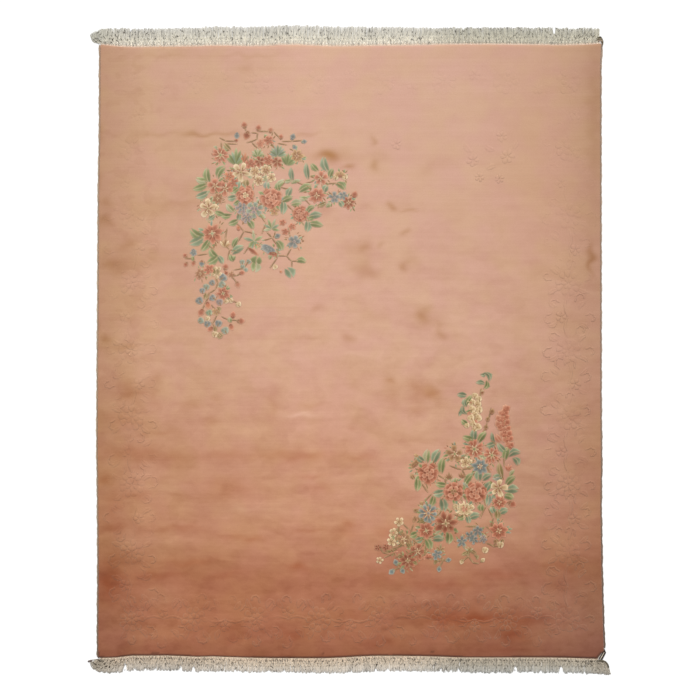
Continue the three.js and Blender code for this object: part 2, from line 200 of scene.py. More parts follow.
# Painted shade where the pile has been pressed or laid over: middle in cm, half length and half
# width in mm, turn in degrees, and how dark it is painted. A patch below 0 leans to the light and
# is painted lighter.
PATCHES = [
    (-21, 107, 55, 9, 3, 0.45), (-10, 97, 32, 28, 10, 0.75), (-6, 96, 100, 30, -3, 0.40),
    (0, 91, 30, 13, 8, 0.80), (11, 104, 18, 12, 60, 0.55), (12, 92, 20, 20, 0, 0.55),
    (13, 95, 45, 40, 0, 0.18), (7, 71, 42, 22, -10, 0.30), (20, 71, 22, 13, 0, 0.70),
    (29, 69, 34, 8, -5, 0.50), (25, 71, 60, 24, 0, 0.18), (28, 59, 18, 15, 0, 0.55),
    (15, 53, 16, 15, 0, 0.35), (4, 49, 70, 54, 10, 0.28), (8, 51, 24, 17, 0, 0.45),
    (7, 40, 46, 40, 0, 0.38), (10, 38, 50, 32, 0, 0.28), (27, 41, 20, 25, 0, 0.55),
    (30, 44, 45, 45, 0, 0.25), (40, 91, 40, 22, 30, 0.18), (47, 94, 55, 45, 10, 0.15),
    (-17, 21, 25, 20, 0, 0.40), (-20, 16, 70, 50, 0, 0.15), (-21, 6, 60, 7, 0, 0.32),
    (-1, 6, 25, 25, 0, 0.55), (13, 17, 75, 30, 0, 0.18), (36, 18, 36, 25, -20, 0.55),
    (37, 15, 45, 45, 0, 0.40), (46, 8, 23, 23, 0, 0.55), (44, 13, 16, 30, 10, 0.35),
    (21, -15, 22, 12, 0, 0.50), (21, -23, 30, 46, 0, 0.35), (33, -21, 44, 72, 0, 0.45),
    (41, -22, 42, 26, -40, 0.80), (33, -30, 40, 15, 0, 0.32), (-20, -27, 65, 13, 0, 0.32),
    (2, -38, 26, 9, 0, 0.30), (-21, -52, 90, 26, 0, 0.42), (5, -53, 66, 18, 0, 0.35),
    (-8, -53, 220, 50, 0, 0.18), (-1, -86, 28, 14, 0, 0.45), (-64, 107, 100, 8, 0, 0.50),
    (-76, 107, 55, 10, -2, 0.55), (-95, 107, 110, 9, 1, 0.30), (-73, 101, 50, 20, 0, 0.22),
    (-50, 146, 150, 10, 0, 0.28), (-97, 146, 150, 8, 0, 0.20), (-51, 140, 30, 30, 0, 0.28),
    (-121, 64, 30, 25, 0, 0.70), (-110, 53, 36, 25, 20, 0.50), (-120, 73, 20, 20, 0, 0.45),
    (-124, 85, 14, 40, 0, 0.35), (-124, 107, 14, 40, 0, 0.40), (-118, 42, 36, 36, -30, 0.45),
    (-82, 73, 130, 15, 0, 0.32), (-79, 80, 100, 35, 0, 0.20), (-121, 5, 26, 26, 0, 0.65),
    (-110, 2, 46, 13, 0, 0.45), (-109, -21, 60, 46, -25, 0.65), (-96, -13, 32, 26, 20, 0.32),
    (-97, -23, 26, 52, 0, 0.28), (-112, -34, 80, 36, 0, 0.50), (-79, -27, 62, 18, 0, 0.32),
    (-65, -24, 32, 16, 0, 0.28), (-38, -27, 24, 72, 0, 0.35), (-69, -35, 36, 18, 0, 0.35),
    (-92, -41, 80, 12, 0, 0.28), (-108, -51, 140, 36, 0, 0.55), (-64, -52, 125, 30, 0, 0.42),
    (-88, -54, 62, 26, 0, 0.32), (-37, -52, 100, 26, 0, 0.38), (-121, -64, 36, 26, 0, 0.65),
    (-60, -68, 112, 50, 0, 0.38), (-107, -72, 62, 20, 0, 0.38), (-19, -62, 60, 13, 0, 0.38),
    (-16, -68, 62, 20, 0, 0.28), (-84, -88, 90, 15, 0, 0.38), (-49, -94, 42, 13, 0, 0.45),
    (-56, -92, 75, 13, 0, 0.28), (-20, -89, 75, 10, 0, 0.28), (-78, -105, 100, 20, 4, 0.50),
    (-26, -107, 42, 22, 0, 0.50), (-119, -114, 62, 75, 0, 0.60), (-94, -111, 125, 16, 4, 0.35),
    (-24, -107, 50, 18, 0, 0.35), (74, -111, 100, 20, 0, 0.42), (105, -107, 75, 20, 0, 0.40),
    (44, -116, 150, 20, 0, 0.35), (61, -133, 250, 30, 0, 0.40), (86, -133, 125, 40, 0, 0.50),
    (46, -134, 100, 25, 0, 0.38), (-29, -140, 50, 20, 0, 0.50), (-60, -138, 75, 20, 0, 0.32),
    (16, -145, 75, 20, 0, 0.42), (78, -148, 150, 18, 0, 0.40), (121, 118, 36, 330, 0, 0.38),
    (100, -119, 180, 36, 0, -0.30), (27, -122, 270, 34, 0, -0.28), (-96, -122, 100, 40, 0, -0.75),
    (-31, -125, 200, 25, 0, -0.15), (-97, -96, 150, 45, 0, -0.30), (-111, -92, 50, 50, 0, -0.28),
    (-46, -79, 250, 30, 0, -0.20), (-91, -68, 62, 26, 0, -0.28), (-102, -60, 50, 40, 0, -0.20),
    (-23, -32, 60, 9, 0, -0.40), (-24, -32, 65, 10, 0, -0.20), (48, -62, 300, 300, 0, -0.30),
    (-99, 46, 170, 50, 0, 0.24), (119, 46, 16, 65, 0, 0.90), (-117, -77, 36, 90, 0, 0.35),
    (-117, -104, 36, 50, 0, 0.25), (79, -141, 60, 26, 0, 0.50), (64, -132, 70, 20, 0, 0.30),
    (-62, -111, 70, 20, 10, 0.30), (-93, 70, 170, 26, 0, 0.25), (-109, 42, 90, 30, 0, 0.28),
    (-57, -143, 45, 18, 0, 0.35), (-27, -143, 40, 16, 0, 0.30), (15, -113, 60, 22, 0, 0.25),
    (2, -131, 40, 16, 0, 0.25), (32, -18, 180, 26, -6, 0.20), (-20, -106, 60, 14, 0, -0.25),
    (50, -109, 45, 20, 0, -0.30), (82, -141, 70, 50, 0, 0.42), (62, -132, 80, 45, 0, 0.35),
    (45, -129, 60, 45, 0, 0.35), (102, -118, 50, 30, 0, 0.4), (-104, -122, 60, 35, 0, 0.4),
    (-120, -118, 30, 60, 0, 0.4), (29, -104, 60, 40, 0, 0.5), (-13, 69, 30, 25, 0, 0.4),
    (-16, 96, 60, 25, 0, 0.35), (19, -90, 50, 35, 0, 0.45), (-1, -90, 60, 30, 0, 0.35),
    (-116, -88, 60, 25, 0, 0.45), (-55, -78, 40, 10, 0, -0.35),
]
# Where the field's dye has a cooler cast, or a warmer one: laid out as the patches are.
CASTS = [
    (89, -68, 300, 370, 0, 1.0), (97, 88, 260, 650, 0, -0.4), (-108, 30, 150, 500, 0, -0.4),
    (-62, -124, 450, 160, 0, -0.45), (-112, -140, 130, 110, 0, 0.7),
]
# The patches fade out past their size, and their edges wander in waves: how far, in mm, and
# the lengths of the waves.
PATCH_SPREAD = 1.15
WANDER = 9
WANDER_LENGTHS = (13, 21, 17, 39)
# Painted shade low down on the near end's wall, which faces away from the light: how high and
# how deep, in mm.
SHADED_WALL = {"up": 13.6, "deep": 30, "shade": 1.0}


def select_only(*objects):
    bpy.ops.object.select_all(action="DESELECT")
    for thing in objects:
        thing.select_set(True)
        bpy.context.view_layer.objects.active = thing


def long_runs(node):
    """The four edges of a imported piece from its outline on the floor: each is a table of
    places along the edge and how far out it is. The corners' short turns are left out."""
    places = {(round(v.co.x, 6), round(v.co.y, 6))
              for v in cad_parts[node].data.vertices if v.co.z < 1e-5}
    ring = sorted(places, key=lambda p: math.atan2(p[1], p[0]))
    runs = {"left": set(), "right": set(), "bottom": set(), "top": set()}
    turns = []
    for a, b in zip(ring, ring[1:] + ring[:1]):
        dx, dy = b[0] - a[0], b[1] - a[1]
        if abs(dy) > LONG_EDGE and abs(dy) > 3 * abs(dx):
            runs["right" if a[0] > 0 else "left"] |= {(a[1], a[0]), (b[1], b[0])}
        elif abs(dx) > LONG_EDGE and abs(dx) > 3 * abs(dy):
            runs["top" if a[1] > 0 else "bottom"] |= {a, b}
        else:
            turns.append((a, b))
    return {name: np.array(sorted(rows)) for name, rows in runs.items()}, turns


pile_edges, pile_turns = long_runs("pile_field")
for name, rows in CREPT.items():
    pile_edges[name][:, 1] -= np.interp(pile_edges[name][:, 0] / CM, *np.transpose(rows)) * MM


def edge_at(edges, name, along):
    return np.interp(along, edges[name][:, 0], edges[name][:, 1])


def waves_at(x, y):
    """How far the shorn face stands above or below its mean, in metres."""
    total = np.zeros_like(x)
    for wave in WAVES:
        heading = math.radians(wave["heading"])
        along = x * math.cos(heading) + y * math.sin(heading)
        total += wave["height"] * MM * np.sin(2 * math.pi * along / (wave["length"] * MM))
    return total


def patch_shade_and_cast(x, y, patches):
    """How deep the painted shade of pressed pile is at each place, and likewise the dye's cast, as
    the patches' edges wander.
    """
    total = np.zeros_like(x)
    reach = WANDER * MM
    a, b, c, d = (length * MM for length in WANDER_LENGTHS)
    x, y = (x + reach * (np.sin(y / a + 1) + 0.7 * np.sin((x + y) / b)),
            y + reach * 0.6 * (np.sin(x / c) + np.sin((x - 2 * y) / d)))
    for middle_x, middle_y, half_long, half_wide, turn, depth in patches:
        turn = math.radians(turn)
        dx, dy = x - middle_x * CM, y - middle_y * CM
        along = (dx * math.cos(turn) + dy * math.sin(turn)) / (half_long * MM)
        across = (dy * math.cos(turn) - dx * math.sin(turn)) / (half_wide * MM)
        total += depth * np.exp(-(along ** 2 + across ** 2) / PATCH_SPREAD ** 2)
    return total


def set_attribute(mesh, name, kind, values):
    made = mesh.attributes.new(name, kind, "POINT")
    key = "color" if kind == "FLOAT_COLOR" else "value"
    made.data.foreach_set(key, np.asarray(values, np.float32).ravel())


def set_lie(mesh):
    """The painted shade of pressed pile, and which way its dye is cast, all over a mesh."""
    places = coordinates(mesh)
    for name, patches in (("pressed_shade", PATCHES), ("cast", CASTS)):
        set_attribute(mesh, name, "FLOAT", patch_shade_and_cast(places[:, 0], places[:, 1], patches))


def coordinates(mesh):
    flat = np.empty(len(mesh.vertices) * 3, np.float32)
    mesh.vertices.foreach_get("co", flat)
    return flat.reshape(-1, 3).astype(float)


def flat_uv(mesh):
    """Lays the baked map flat, as the rug lies."""
    layer = mesh.uv_layers.new(name="OFBake")
    corners = np.empty(len(mesh.loops), np.int32)
    mesh.loops.foreach_get("vertex_index", corners)
    places = coordinates(mesh)[corners, :2]
    low, high = places.min(0), places.max(0)
    layer.data.foreach_set("uv", ((places - low) / (high - low).max()).astype(np.float32).ravel())


def shade_smooth(thing):
    thing.data.polygons.foreach_set("use_smooth", [True] * len(thing.data.polygons))


def turn_outwards():
    """Turns the faces of the mesh being edited outwards, and leaves edit mode."""
    bpy.ops.mesh.select_all(action="SELECT")
    bpy.ops.mesh.normals_make_consistent(inside=False)
    bpy.ops.object.mode_set(mode="OBJECT")


select_only()
bpy.ops.mesh.primitive_grid_add(
    x_subdivisions=PILE_CELLS[0], y_subdivisions=PILE_CELLS[1], size=2)
pile = bpy.context.object
pile.name = "knotted_pile"
face_inset = PILE_WALL[0]["inset"] * MM
half_wide = pile_high.x - face_inset
half_long = pile_high.y - face_inset
grid = coordinates(pile.data)
across, along = (grid[:, 0] + 1) / 2, (grid[:, 1] + 1) / 2
guess_x, guess_y = grid[:, 0] * half_wide, grid[:, 1] * half_long
left = edge_at(pile_edges, "left", guess_y) + face_inset
right = edge_at(pile_edges, "right", guess_y) - face_inset
bottom = edge_at(pile_edges, "bottom", guess_x) + face_inset
top = edge_at(pile_edges, "top", guess_x) - face_inset
grid[:, 0] = left + (right - left) * across
grid[:, 1] = bottom + (top - bottom) * along
grid[:, 2] = PILE_WALL[0]["up"] * MM
pile.data.vertices.foreach_set("co", grid.astype(np.float32).ravel())
pile.data.update()

bpy.ops.object.mode_set(mode="EDIT")
for start, end in pile_turns:
    bpy.ops.mesh.select_all(action="SELECT")
    outward = np.array([end[1] - start[1], start[0] - end[0]])
    outward = outward / np.linalg.norm(outward)
    through = np.array(start) - outward * face_inset
    bpy.ops.mesh.bisect(
        plane_co=(*through, 0), plane_no=(*outward, 0), clear_outer=True, threshold=0.01 * MM)
bpy.ops.mesh.select_all(action="DESELECT")
bpy.ops.mesh.select_mode(type="EDGE")
bpy.ops.mesh.select_non_manifold(extend=False, use_wire=False, use_multi_face=False,
                                 use_non_contiguous=False, use_verts=False)
for above, below in zip(PILE_WALL, PILE_WALL[1:]):
    spread = (above["inset"] - below["inset"]) * MM
    bpy.ops.mesh.extrude_region_move(
        TRANSFORM_OT_translate={"value": (0, 0, (below["up"] - above["up"]) * MM)})
    bpy.ops.transform.resize(
        value=((half_wide + spread) / half_wide, (half_long + spread) / half_long, 1),
        center_override=(0, 0, below["up"] * MM))
    half_wide += spread
    half_long += spread
bpy.ops.mesh.edge_face_add()
turn_outwards()

places = coordinates(pile.data)
on_face = places[:, 2] > PILE_WALL[1]["up"] * MM
places[:, 2] += np.where(on_face, waves_at(places[:, 0], places[:, 1]), 0)
pile.data.vertices.foreach_set("co", places.astype(np.float32).ravel())
set_lie(pile.data)
set_attribute(pile.data, "dye", "FLOAT_COLOR", np.zeros((len(places), 4)))
# Painted shade on the near end's wall, low down.
near_wall = ((places[:, 2] < SHADED_WALL["up"] * MM)
             & (places[:, 1] < pile_low.y + SHADED_WALL["deep"] * MM))
set_attribute(pile.data, "painted_shade", "FLOAT", np.where(near_wall, SHADED_WALL["shade"], 0))
flat_uv(pile.data)
shade_smooth(pile)

# Cut wool: matt, with a soft sheen where the light grazes it, and a grain of tufts. Knots are
# 3.4 mm apart, and their grain is drawn at 6 mm so that it shows.
WOOL_ROUGHNESS = 0.95
WOOL_SHEEN = 0.15
SHEEN_ROUGHNESS = 0.6
WOOL_SPECULAR = 0.15
TUFT_GRAIN = 6
TUFT_HEIGHT = 1.0
TUFT_STRENGTH = 0.35
# What grows along or across the rug: its axis, from where to where in cm, and from how much to
# how much. Colours and their painted shade run up the rug and over it, the near end has its own
# side darkening and painted pressed shade, and the pile lies less evenly, in painted light and
# shade, the nearer it is to the foot, and at the left side.
SPREADS = {
    "up": ("Y", -153, 153, 0, 1), "over": ("X", -126, 126, 0, 1), "near": ("Y", -105, -130, 0, 1),
    "pressed_shade": ("Y", 10, -110, 0, 1), "field": ("Y", 90, -145, 0.3, 1.4),
    "foot": ("Y", -95, -130, 0, 1), "side": ("X", -80, -100, 0, 1),
}
# Light and shade of the pile's lie, painted into its colour, from broad runs across the rug down
# to its tufts: size across and along in mm, how much the colour swings, and where it does so most.
MOTTLES = [
    {"wide": 380, "long": 46, "swing": 0.11, "where": "field"},
    {"wide": 110, "long": 60, "swing": 0.14, "where": "field"},
    {"wide": 38, "long": 22, "swing": 0.07, "where": "field"},
    {"wide": 900, "long": 7, "swing": 0.05, "where": None},
    {"wide": 7, "long": 5, "swing": 0.09, "where": None},
]
# Cloudy patches with a clear edge, where whole tufts lean one way: painted a little light outside
# their edge and darker inside it, as light and shade.
CLOUDS = [
    {"wide": 330, "long": 170, "edge": 0.52, "swing": 0.06, "where": "field"},
    {"wide": 130, "long": 85, "edge": 0.55, "swing": 0.045, "where": "field"},
    {"wide": 60, "long": 36, "edge": 0.53, "swing": 0.075, "where": "foot"},
    {"wide": 85, "long": 65, "edge": 0.54, "swing": 0.06, "where": "side"},
]
CLOUD_EDGE = 0.05
CLOUD_LIGHT = 0.22
CLOUD_DARK = -0.7
CLOUD_NOISE = {"Detail": 1.5, "Distortion": 0.3}
# How light the wool is between its painted swings, and the tints of the painted shade of pressed
# wool, at mid-length and near the foot, of a cool cast and of the dye's own unevenness.
MEAN_SHADE = 0.992
PRESSED_SHADE_TINTS = ("#DCCDB0", "#E6C0A8")
COOL_CAST = (0.965, 1.0, 1.08, 1)
DYE_TINTS = [(0.38, "#FFFAFF"), (0.62, "#FFFFF9")]
DYE_TINT_SIZE = 160
# How much the painted shade of grooves and of the near end's wall darkens the wool.
GROOVE_SHADE = 0.42
# Where the wool leans from the light it is warmer as well as darker: the colour of its shade,
# and how much of it a full swing takes.
LEANING_TINT = "#DAC5B8"
LEANING_DEPTH = 2.4

wool, tree = new_material("hand_knotted_cut_wool")
spot = add_node(tree, "ShaderNodeTexCoord").outputs["Object"]
split = add_node(tree, "ShaderNodeSeparateXYZ", inputs={0: spot})
told = {name: add_node(tree, "ShaderNodeAttribute", attribute_name=name).outputs
        for name in ("pressed_shade", "cast", "dye", "painted_shade")}
spread = {None: 1.0}
for name, (axis, low, high, to_low, to_high) in SPREADS.items():
    spread[name] = add_node(tree, "ShaderNodeMapRange", inputs={
        "Value": split.outputs[axis], "From Min": low * CM, "From Max": high * CM,
        "To Min": to_low, "To Max": to_high}).outputs[0]

# The field's own colour with its painted shade down the rug, at its sides and where it is
# pressed, and what tints it from place to place.
ramps = []
for way, rows in (("up", FIELD_RAMP), ("over", MIDDLE_SIDE_DARKENING), ("over", FOOT_SIDE_DARKENING)):
    half = SPREADS[way][2]
    ramps.append(add_node(tree, "ShaderNodeValToRGB", inputs={0: spread[way]}, stops=[
        ((place + half) / (2 * half), dye(colour)) for place, colour in rows]).outputs[0])
tint_noise = add_node(tree, "ShaderNodeTexNoise", inputs={
    "Vector": spot, "Scale": 1 / (DYE_TINT_SIZE * MM), "Detail": 2.0})
uneven = add_node(tree, "ShaderNodeValToRGB", inputs={0: tint_noise.outputs[0]},
                  stops=[(place, dye(colour)) for place, colour in DYE_TINTS]).outputs[0]
field, *side_darkenings = ramps
side_darkening, laid = (
    add_node(tree, "ShaderNodeMix", data_type="RGBA", inputs={
        0: spread[where], 6: above, 7: below}).outputs[2]
    for where, (above, below) in (("near", side_darkenings), ("pressed_shade", map(dye, PRESSED_SHADE_TINTS))))
for share, tint in ((1.0, side_darkening), (told["pressed_shade"]["Fac"], laid),
                    (told["cast"]["Fac"], COOL_CAST), (1.0, uneven)):
    field = add_node(tree, "ShaderNodeMix", data_type="RGBA", blend_type="MULTIPLY",
                     clamp_factor=False, inputs={0: share, 6: field, 7: tint}).outputs[2]
colour = add_node(tree, "ShaderNodeMix", data_type="RGBA", inputs={
    0: told["dye"]["Alpha"], 6: field, 7: told["dye"]["Color"]}).outputs[2]

# How the pile lies there, painted as light and shade, and the painted shade of grooves and walls.
shade = MEAN_SHADE
for row in MOTTLES + CLOUDS:
    low, high, to_low, to_high = 0, 1, -row["swing"], row["swing"]
    if "edge" in row:
        low, high = row["edge"], row["edge"] + CLOUD_EDGE
        to_low, to_high = CLOUD_LIGHT * row["swing"], CLOUD_DARK * row["swing"]
    stretched = add_node(tree, "ShaderNodeMapping", inputs={
        "Vector": spot, "Scale": (1 / (row["wide"] * MM), 1 / (row["long"] * MM), 1)})
    noise = add_node(tree, "ShaderNodeTexNoise", inputs={
        "Vector": stretched.outputs[0], "Scale": 1.0,
        **(CLOUD_NOISE if "edge" in row else {"Detail": 2.0})})
    swing = add_node(
        tree, "ShaderNodeMapRange", clamp=False,
        interpolation_type="SMOOTHSTEP" if "edge" in row else "LINEAR", inputs={
            "Value": noise.outputs[0], "From Min": low, "From Max": high,
            "To Min": to_low, "To Max": to_high})
    shade = add_node(tree, "ShaderNodeMath", operation="MULTIPLY_ADD", inputs={
        0: swing.outputs[0], 1: spread[row["where"]], 2: shade}).outputs[0]
darker = add_node(tree, "ShaderNodeMath", operation="MULTIPLY_ADD", inputs={
    0: shade, 1: -LEANING_DEPTH, 2: LEANING_DEPTH}).outputs[0]
colour = add_node(tree, "ShaderNodeMix", data_type="RGBA", blend_type="MULTIPLY",
                  clamp_factor=False, inputs={
                      0: darker, 6: colour, 7: dye(LEANING_TINT)}).outputs[2]
depth = add_node(tree, "ShaderNodeMath", operation="MULTIPLY_ADD", inputs={
    0: told["painted_shade"]["Fac"], 1: -GROOVE_SHADE, 2: 1.0}).outputs[0]
colour = add_node(tree, "ShaderNodeVectorMath", operation="SCALE", inputs={
    0: colour, "Scale": depth}).outputs[0]
tufts = add_node(tree, "ShaderNodeTexNoise", inputs={
    "Vector": spot, "Scale": 1 / (TUFT_GRAIN * MM), "Detail": 2.0})
bump = add_node(tree, "ShaderNodeBump", inputs={
    "Height": tufts.outputs[0], "Strength": TUFT_STRENGTH, "Distance": TUFT_HEIGHT * MM})
cloth = add_node(tree, "ShaderNodeBsdfPrincipled", inputs={
    "Base Color": colour, "Roughness": WOOL_ROUGHNESS, "Specular IOR Level": WOOL_SPECULAR,
    "Sheen Weight": WOOL_SHEEN, "Sheen Roughness": SHEEN_ROUGHNESS, "Normal": bump.outputs[0]})
add_node(tree, "ShaderNodeOutputMaterial", inputs={"Surface": cloth.outputs[0]})
pile.data.materials.append(wool)

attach(pile, "root")
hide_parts("pile_field")


# The carved work. The yarns of a design are knotted in with the field, and afterwards shears
# cut a groove round each petal, leaf and stem, which then stands up as a small cushion. Every
# cushion is a copy of one disc worked up in rings, drawn out to the outline that it needs.
SIDES = 10
# The rings of a cushion from its buried foot to its crown: the share of the outline, the
# margin outside it and the height over the field in mm, how much of the groove's painted shade
# falls there, how much of the field's colour has given way, whether it takes the rim's painted
# highlight, and how far towards the tips' yarn the ring is at the petal's foot and at its tip.
RINGS = [
    {"share": 1.0, "out": 4.5, "up": -0.25, "painted_shade": 0.26, "dyed": 0.0, "rim": 0, "tone": (0, 0)},
    {"share": 1.0, "out": 0.4, "up": 0.4, "painted_shade": 0.0, "dyed": 0.7, "rim": 1, "tone": (0.5, 1)},
    {"share": 0.8, "out": 0, "up": 1.3, "painted_shade": 0, "dyed": 1, "rim": 0, "tone": (0.15, 0.9)},
    {"share": 0.4, "out": 0, "up": 1.6, "painted_shade": 0, "dyed": 1, "rim": 0, "tone": (0, 0.6)},
    {"share": 0, "out": 0, "up": 1.7, "painted_shade": 0, "dyed": 1, "rim": 0, "tone": (0, 0.35)},
]
# The knots at a cushion's rim catch the light: a painted highlight mixes a pale colour into their
# yarn. No two cushions are dyed quite alike.
RIM_HIGHLIGHT = "#DDBB9A"
RIM_HIGHLIGHT_SHARE = 0.36
YARN_UNEVEN = 0.1
# The yarns of each part: at its foot and at its tip.
YARNS = {
    "self": ("#E4C4A4", "#E4C4A4"), "fresh": ("#E4C4A4", "#E4C4A4"),
    "coral": ("#98543A", "#E4A084"), "red": ("#743C28", "#CE8A6C"),
    "rose": ("#B06C50", "#E8B296"), "orange": ("#B86C4A", "#E8AC88"),
    "cream": ("#B08C60", "#FCE8C0"), "ochre": ("#9A7448", "#E0BA90"),
    "tan": ("#7E5A3C", "#CAA278"), "brown": ("#86583C", "#C89A78"),
    "green": ("#727848", "#BCBE90"), "pale": ("#9C986E", "#CEC6A6"),
    "teal": ("#748064", "#B6BE9E"), "olive": ("#88744C", "#C6B086"),
    "blue": ("#5E6A6A", "#AEB0A6"), "lilac": ("#7E7270", "#BEB0A6"),
    "grey": ("#7A8272", "#BAB8A4"), "stem": ("#7E6440", "#B0906A"),
    "forest": ("#666C42", "#98A070"), "sea": ("#667256", "#98A284"),
    "moss": ("#76663E", "#A69466"),
}
# A leaf's shaded half is knotted in a deeper yarn.
DARK_HALF = {"green": "forest", "teal": "sea", "pale": "green", "olive": "moss", "grey": "teal"}
LEAF_YARNS = ("green", "teal", "pale", "grey", "forest", "sea")
# What shades a flower's petals at their feet.
DEEP = {"coral": "red", "rose": "coral", "red": "brown", "orange": "red", "cream": "tan",
        "ochre": "brown", "tan": "brown", "blue": "blue", "lilac": "blue", "grey": "teal"}
# The carving in the field's own yarn: how dark the painted shade in its grooves is, and how much
# of its depth is left at places along the rug in cm, as it has worn flat at the far end. A few
# of its flowers are carved deeper, and its cushions' rims catch the light, as a painted highlight.
GROOVE_PLAIN = 0.065
PLAIN_DEPTH = [(-152, 3.0), (-110, 2.6), (-60, 1.5), (20, 1.0), (90, 0.3), (125, 0.12), (152, 0.1)]
FRESH = 2.2
PLAIN_RIM = 0.055
# It has been walked flat in patches too: how much is left on average and at least, how far
# that swings in waves of four lengths in mm, and what is left at the left, middle and right.
KEPT = {"mean": 0.62, "least": 0.12, "swing": 0.5, "waves": (47, 83, 53, 71),
        "across": (0.7, 0.9, 1.05)}
# Dyed leaves and all flowers are this much larger than their rows say, for their thin tips.
LEAF_LONGER = 1.15
LEAF_WIDER = 1.4
FLOWER_BROADER = 1.1
# Petals are as broad as their share of a ring at this share of the wheel's radius, and no two
# are alike: how far they stray in turn, in degrees, length and width, bend as a share of
# their length, and lift in mm.
PETAL_RING = 0.6
STRAY_TURN = 7
STRAY_LENGTHS = (0.84, 1.12)
STRAY_WIDTHS = (0.85, 1.15)
STRAY_BEND = 0.06
STRAY_LIFT = 0.3
# Dots over this radius in mm have two lobes beside them: their turn in degrees, how far out
# they are and how big as shares of the dot's radius, and their lift in mm.
LOBED_FROM = 10
LOBE = {"turn": 60, "out": 0.5, "size": 0.6, "lift": 0.3}
# Flowers over this radius in mm have leaflets between their petals, as shares of the radius,
# and tendrils round them: how many mm of radius there are to each, how far out it starts, how
# far aside it turns in degrees, its length and width, its lift in mm, and its yarns.
SPRIGS_FROM = 24
LEAFLETS = {"each": 11, "out": 0.7, "aside": 25, "length": (0.65, 0.85), "width": (0.24, 0.34),
            "lift": -0.5, "yarns": ("teal", "green", "grey", "pale", "green")}
TENDRILS = {"each": 2.6, "out": (0.75, 1.2), "aside": 60, "length": (13, 26), "width": (4, 8),
            "lift": -0.4, "yarns": ("pale", "olive", "tan", "rose", "green", "brown", "stem",
                                    "moss", "teal")}
# Each kind of flower as wheels of petals, the lowest first: their outline, the wheel's share
# of the flower's radius, how many, their yarn, their turn in degrees, how far out they start
# and how broad they are as shares, their lift in mm, and the turn that a fan goes through.
# Thin strips are stamens, with dark clefts between them.
FLOWERS = {
    "peony": [
        ("petal", 1, 7, "deep", 12, 0.3, 1.35), ("petal", 0.9, 6, "own", 0, 0.35, 1.35, 0.4),
        ("petal", 0.62, 4, "rose", 30, 0.2, 1.25, 0.9),
        ("drop", 0.56, 4, "red", 75, 0.35, 0.4, 1.2), ("petal", 0.32, 3, "heart", 0, 0.1, 1.2, 1.6)],
    "daisy": [
        ("petal", 1, 9, "own", 0, 0.2, 1.1), ("strip", 0.62, 6, "brown", 30, 0.3, 0.22, 0.5),
        ("strip", 0.496, 6, "cream", 0, 0.1, 0.2, 0.8)],
    "star": [
        ("blade", 1, 7, "own", 0, 0.1, 0.95), ("blade", 0.75, 7, "deep", 26, 0.2, 0.5, 0.3),
        ("strip", 0.42, 4, "brown", 45, 0.3, 0.22, 0.8),
        ("strip", 0.336, 4, "cream", 0, 0.1, 0.2, 1.1)],
    "blossom": [
        ("petal", 1, 5, "own", 0, 0.1, 0.95), ("blade", 0.66, 5, "deep", 0, 0.2, 0.25, 0.6),
        ("strip", 0.46, 5, "brown", 56, 0.3, 0.22, 0.8),
        ("strip", 0.368, 5, "cream", 20, 0.1, 0.2, 1.1)],
    "floret": [
        ("petal", 1, 5, "own", 0, 0.08, 1.0), ("blade", 0.6, 5, "deep", 36, 0.15, 0.3, 0.6)],
    "fan": [
        ("petal", 1, 6, "own", -50, 0.15, 0.95, 0, 125),
        ("blade", 0.6, 5, "deep", -40, 0.1, 0.4, 0.5, 110)],
    "swirl": [
        ("petal", 1, 6, "own", 0, 0.3, 1.2), ("drop", 0.72, 5, "deep", 30, 0.3, 0.35, 0.5),
        ("petal", 0.5, 3, "heart", 0, 0.1, 1.1, 0.8)],
}
# A round heart sits in the middle of four of them: its share of the radius, and its lift.
HEARTS = {"daisy": (0.15, 0.9), "star": (0.12, 1.2), "blossom": (0.12, 1.2), "floret": (0.18, 0.9)}


def petal_outline(turn):
    along = 0.5 - 0.5 * np.cos(turn)
    notch = 0.07 * np.exp(-((turn - math.pi) / 0.35) ** 2)
    return along - notch, 0.5 * np.sin(turn) * (0.35 + 0.75 * along)


def blade_outline(turn):
    return 0.5 - 0.5 * np.cos(turn), 0.5 * np.sin(turn) * np.abs(np.sin(turn))


def half_outline(turn):
    along, across = blade_outline(turn)
    return along, np.where(across > 0, across * 2, 0.06)


def drop_outline(turn):
    along = 0.5 - 0.5 * np.cos(turn)
    return along, 0.5 * np.sin(turn) * (1.25 - 0.9 * along ** 2)


def disc_outline(turn):
    return 0.5 - 0.5 * np.cos(turn), 0.5 * np.sin(turn)


def strip_outline(turn):
    across = np.sin(turn)
    return 0.5 - 0.5 * np.cos(turn), 0.5 * np.sign(across) * np.abs(across) ** 0.4


OUTLINES = {
    "petal": (petal_outline, 0.0), "blade": (blade_outline, 0.0), "half": (half_outline, 0.45),
    "drop": (drop_outline, 0.0), "disc": (disc_outline, 0.0), "strip": (strip_outline, 0.0),
}

select_only()
bpy.ops.mesh.primitive_circle_add(vertices=SIDES, radius=1, fill_type="NGON")
cushion = bpy.context.object
bpy.ops.object.mode_set(mode="EDIT")
bpy.ops.mesh.select_all(action="SELECT")
for ring_below, ring_above in zip(RINGS, RINGS[1:-1]):
    bpy.ops.mesh.extrude_region_move(TRANSFORM_OT_translate={"value": (0, 0, 1)})
    narrower = ring_above["share"] / ring_below["share"]
    bpy.ops.transform.resize(value=(narrower, narrower, 1))
bpy.ops.mesh.poke(offset=1)
turn_outwards()
cushion_places = coordinates(cushion.data)
cushion_rings = np.rint(cushion_places[:, 2]).astype(int)
cushion_turns = np.arctan2(cushion_places[:, 1], cushion_places[:, 0]) % (2 * math.pi)
cushion_faces = [list(face.vertices) for face in cushion.data.polygons]
bpy.data.objects.remove(cushion)


def ring_values(key, index=None):
    values = [ring[key] if index is None else ring[key][index] for ring in RINGS]
    return np.array(values)[cushion_rings]


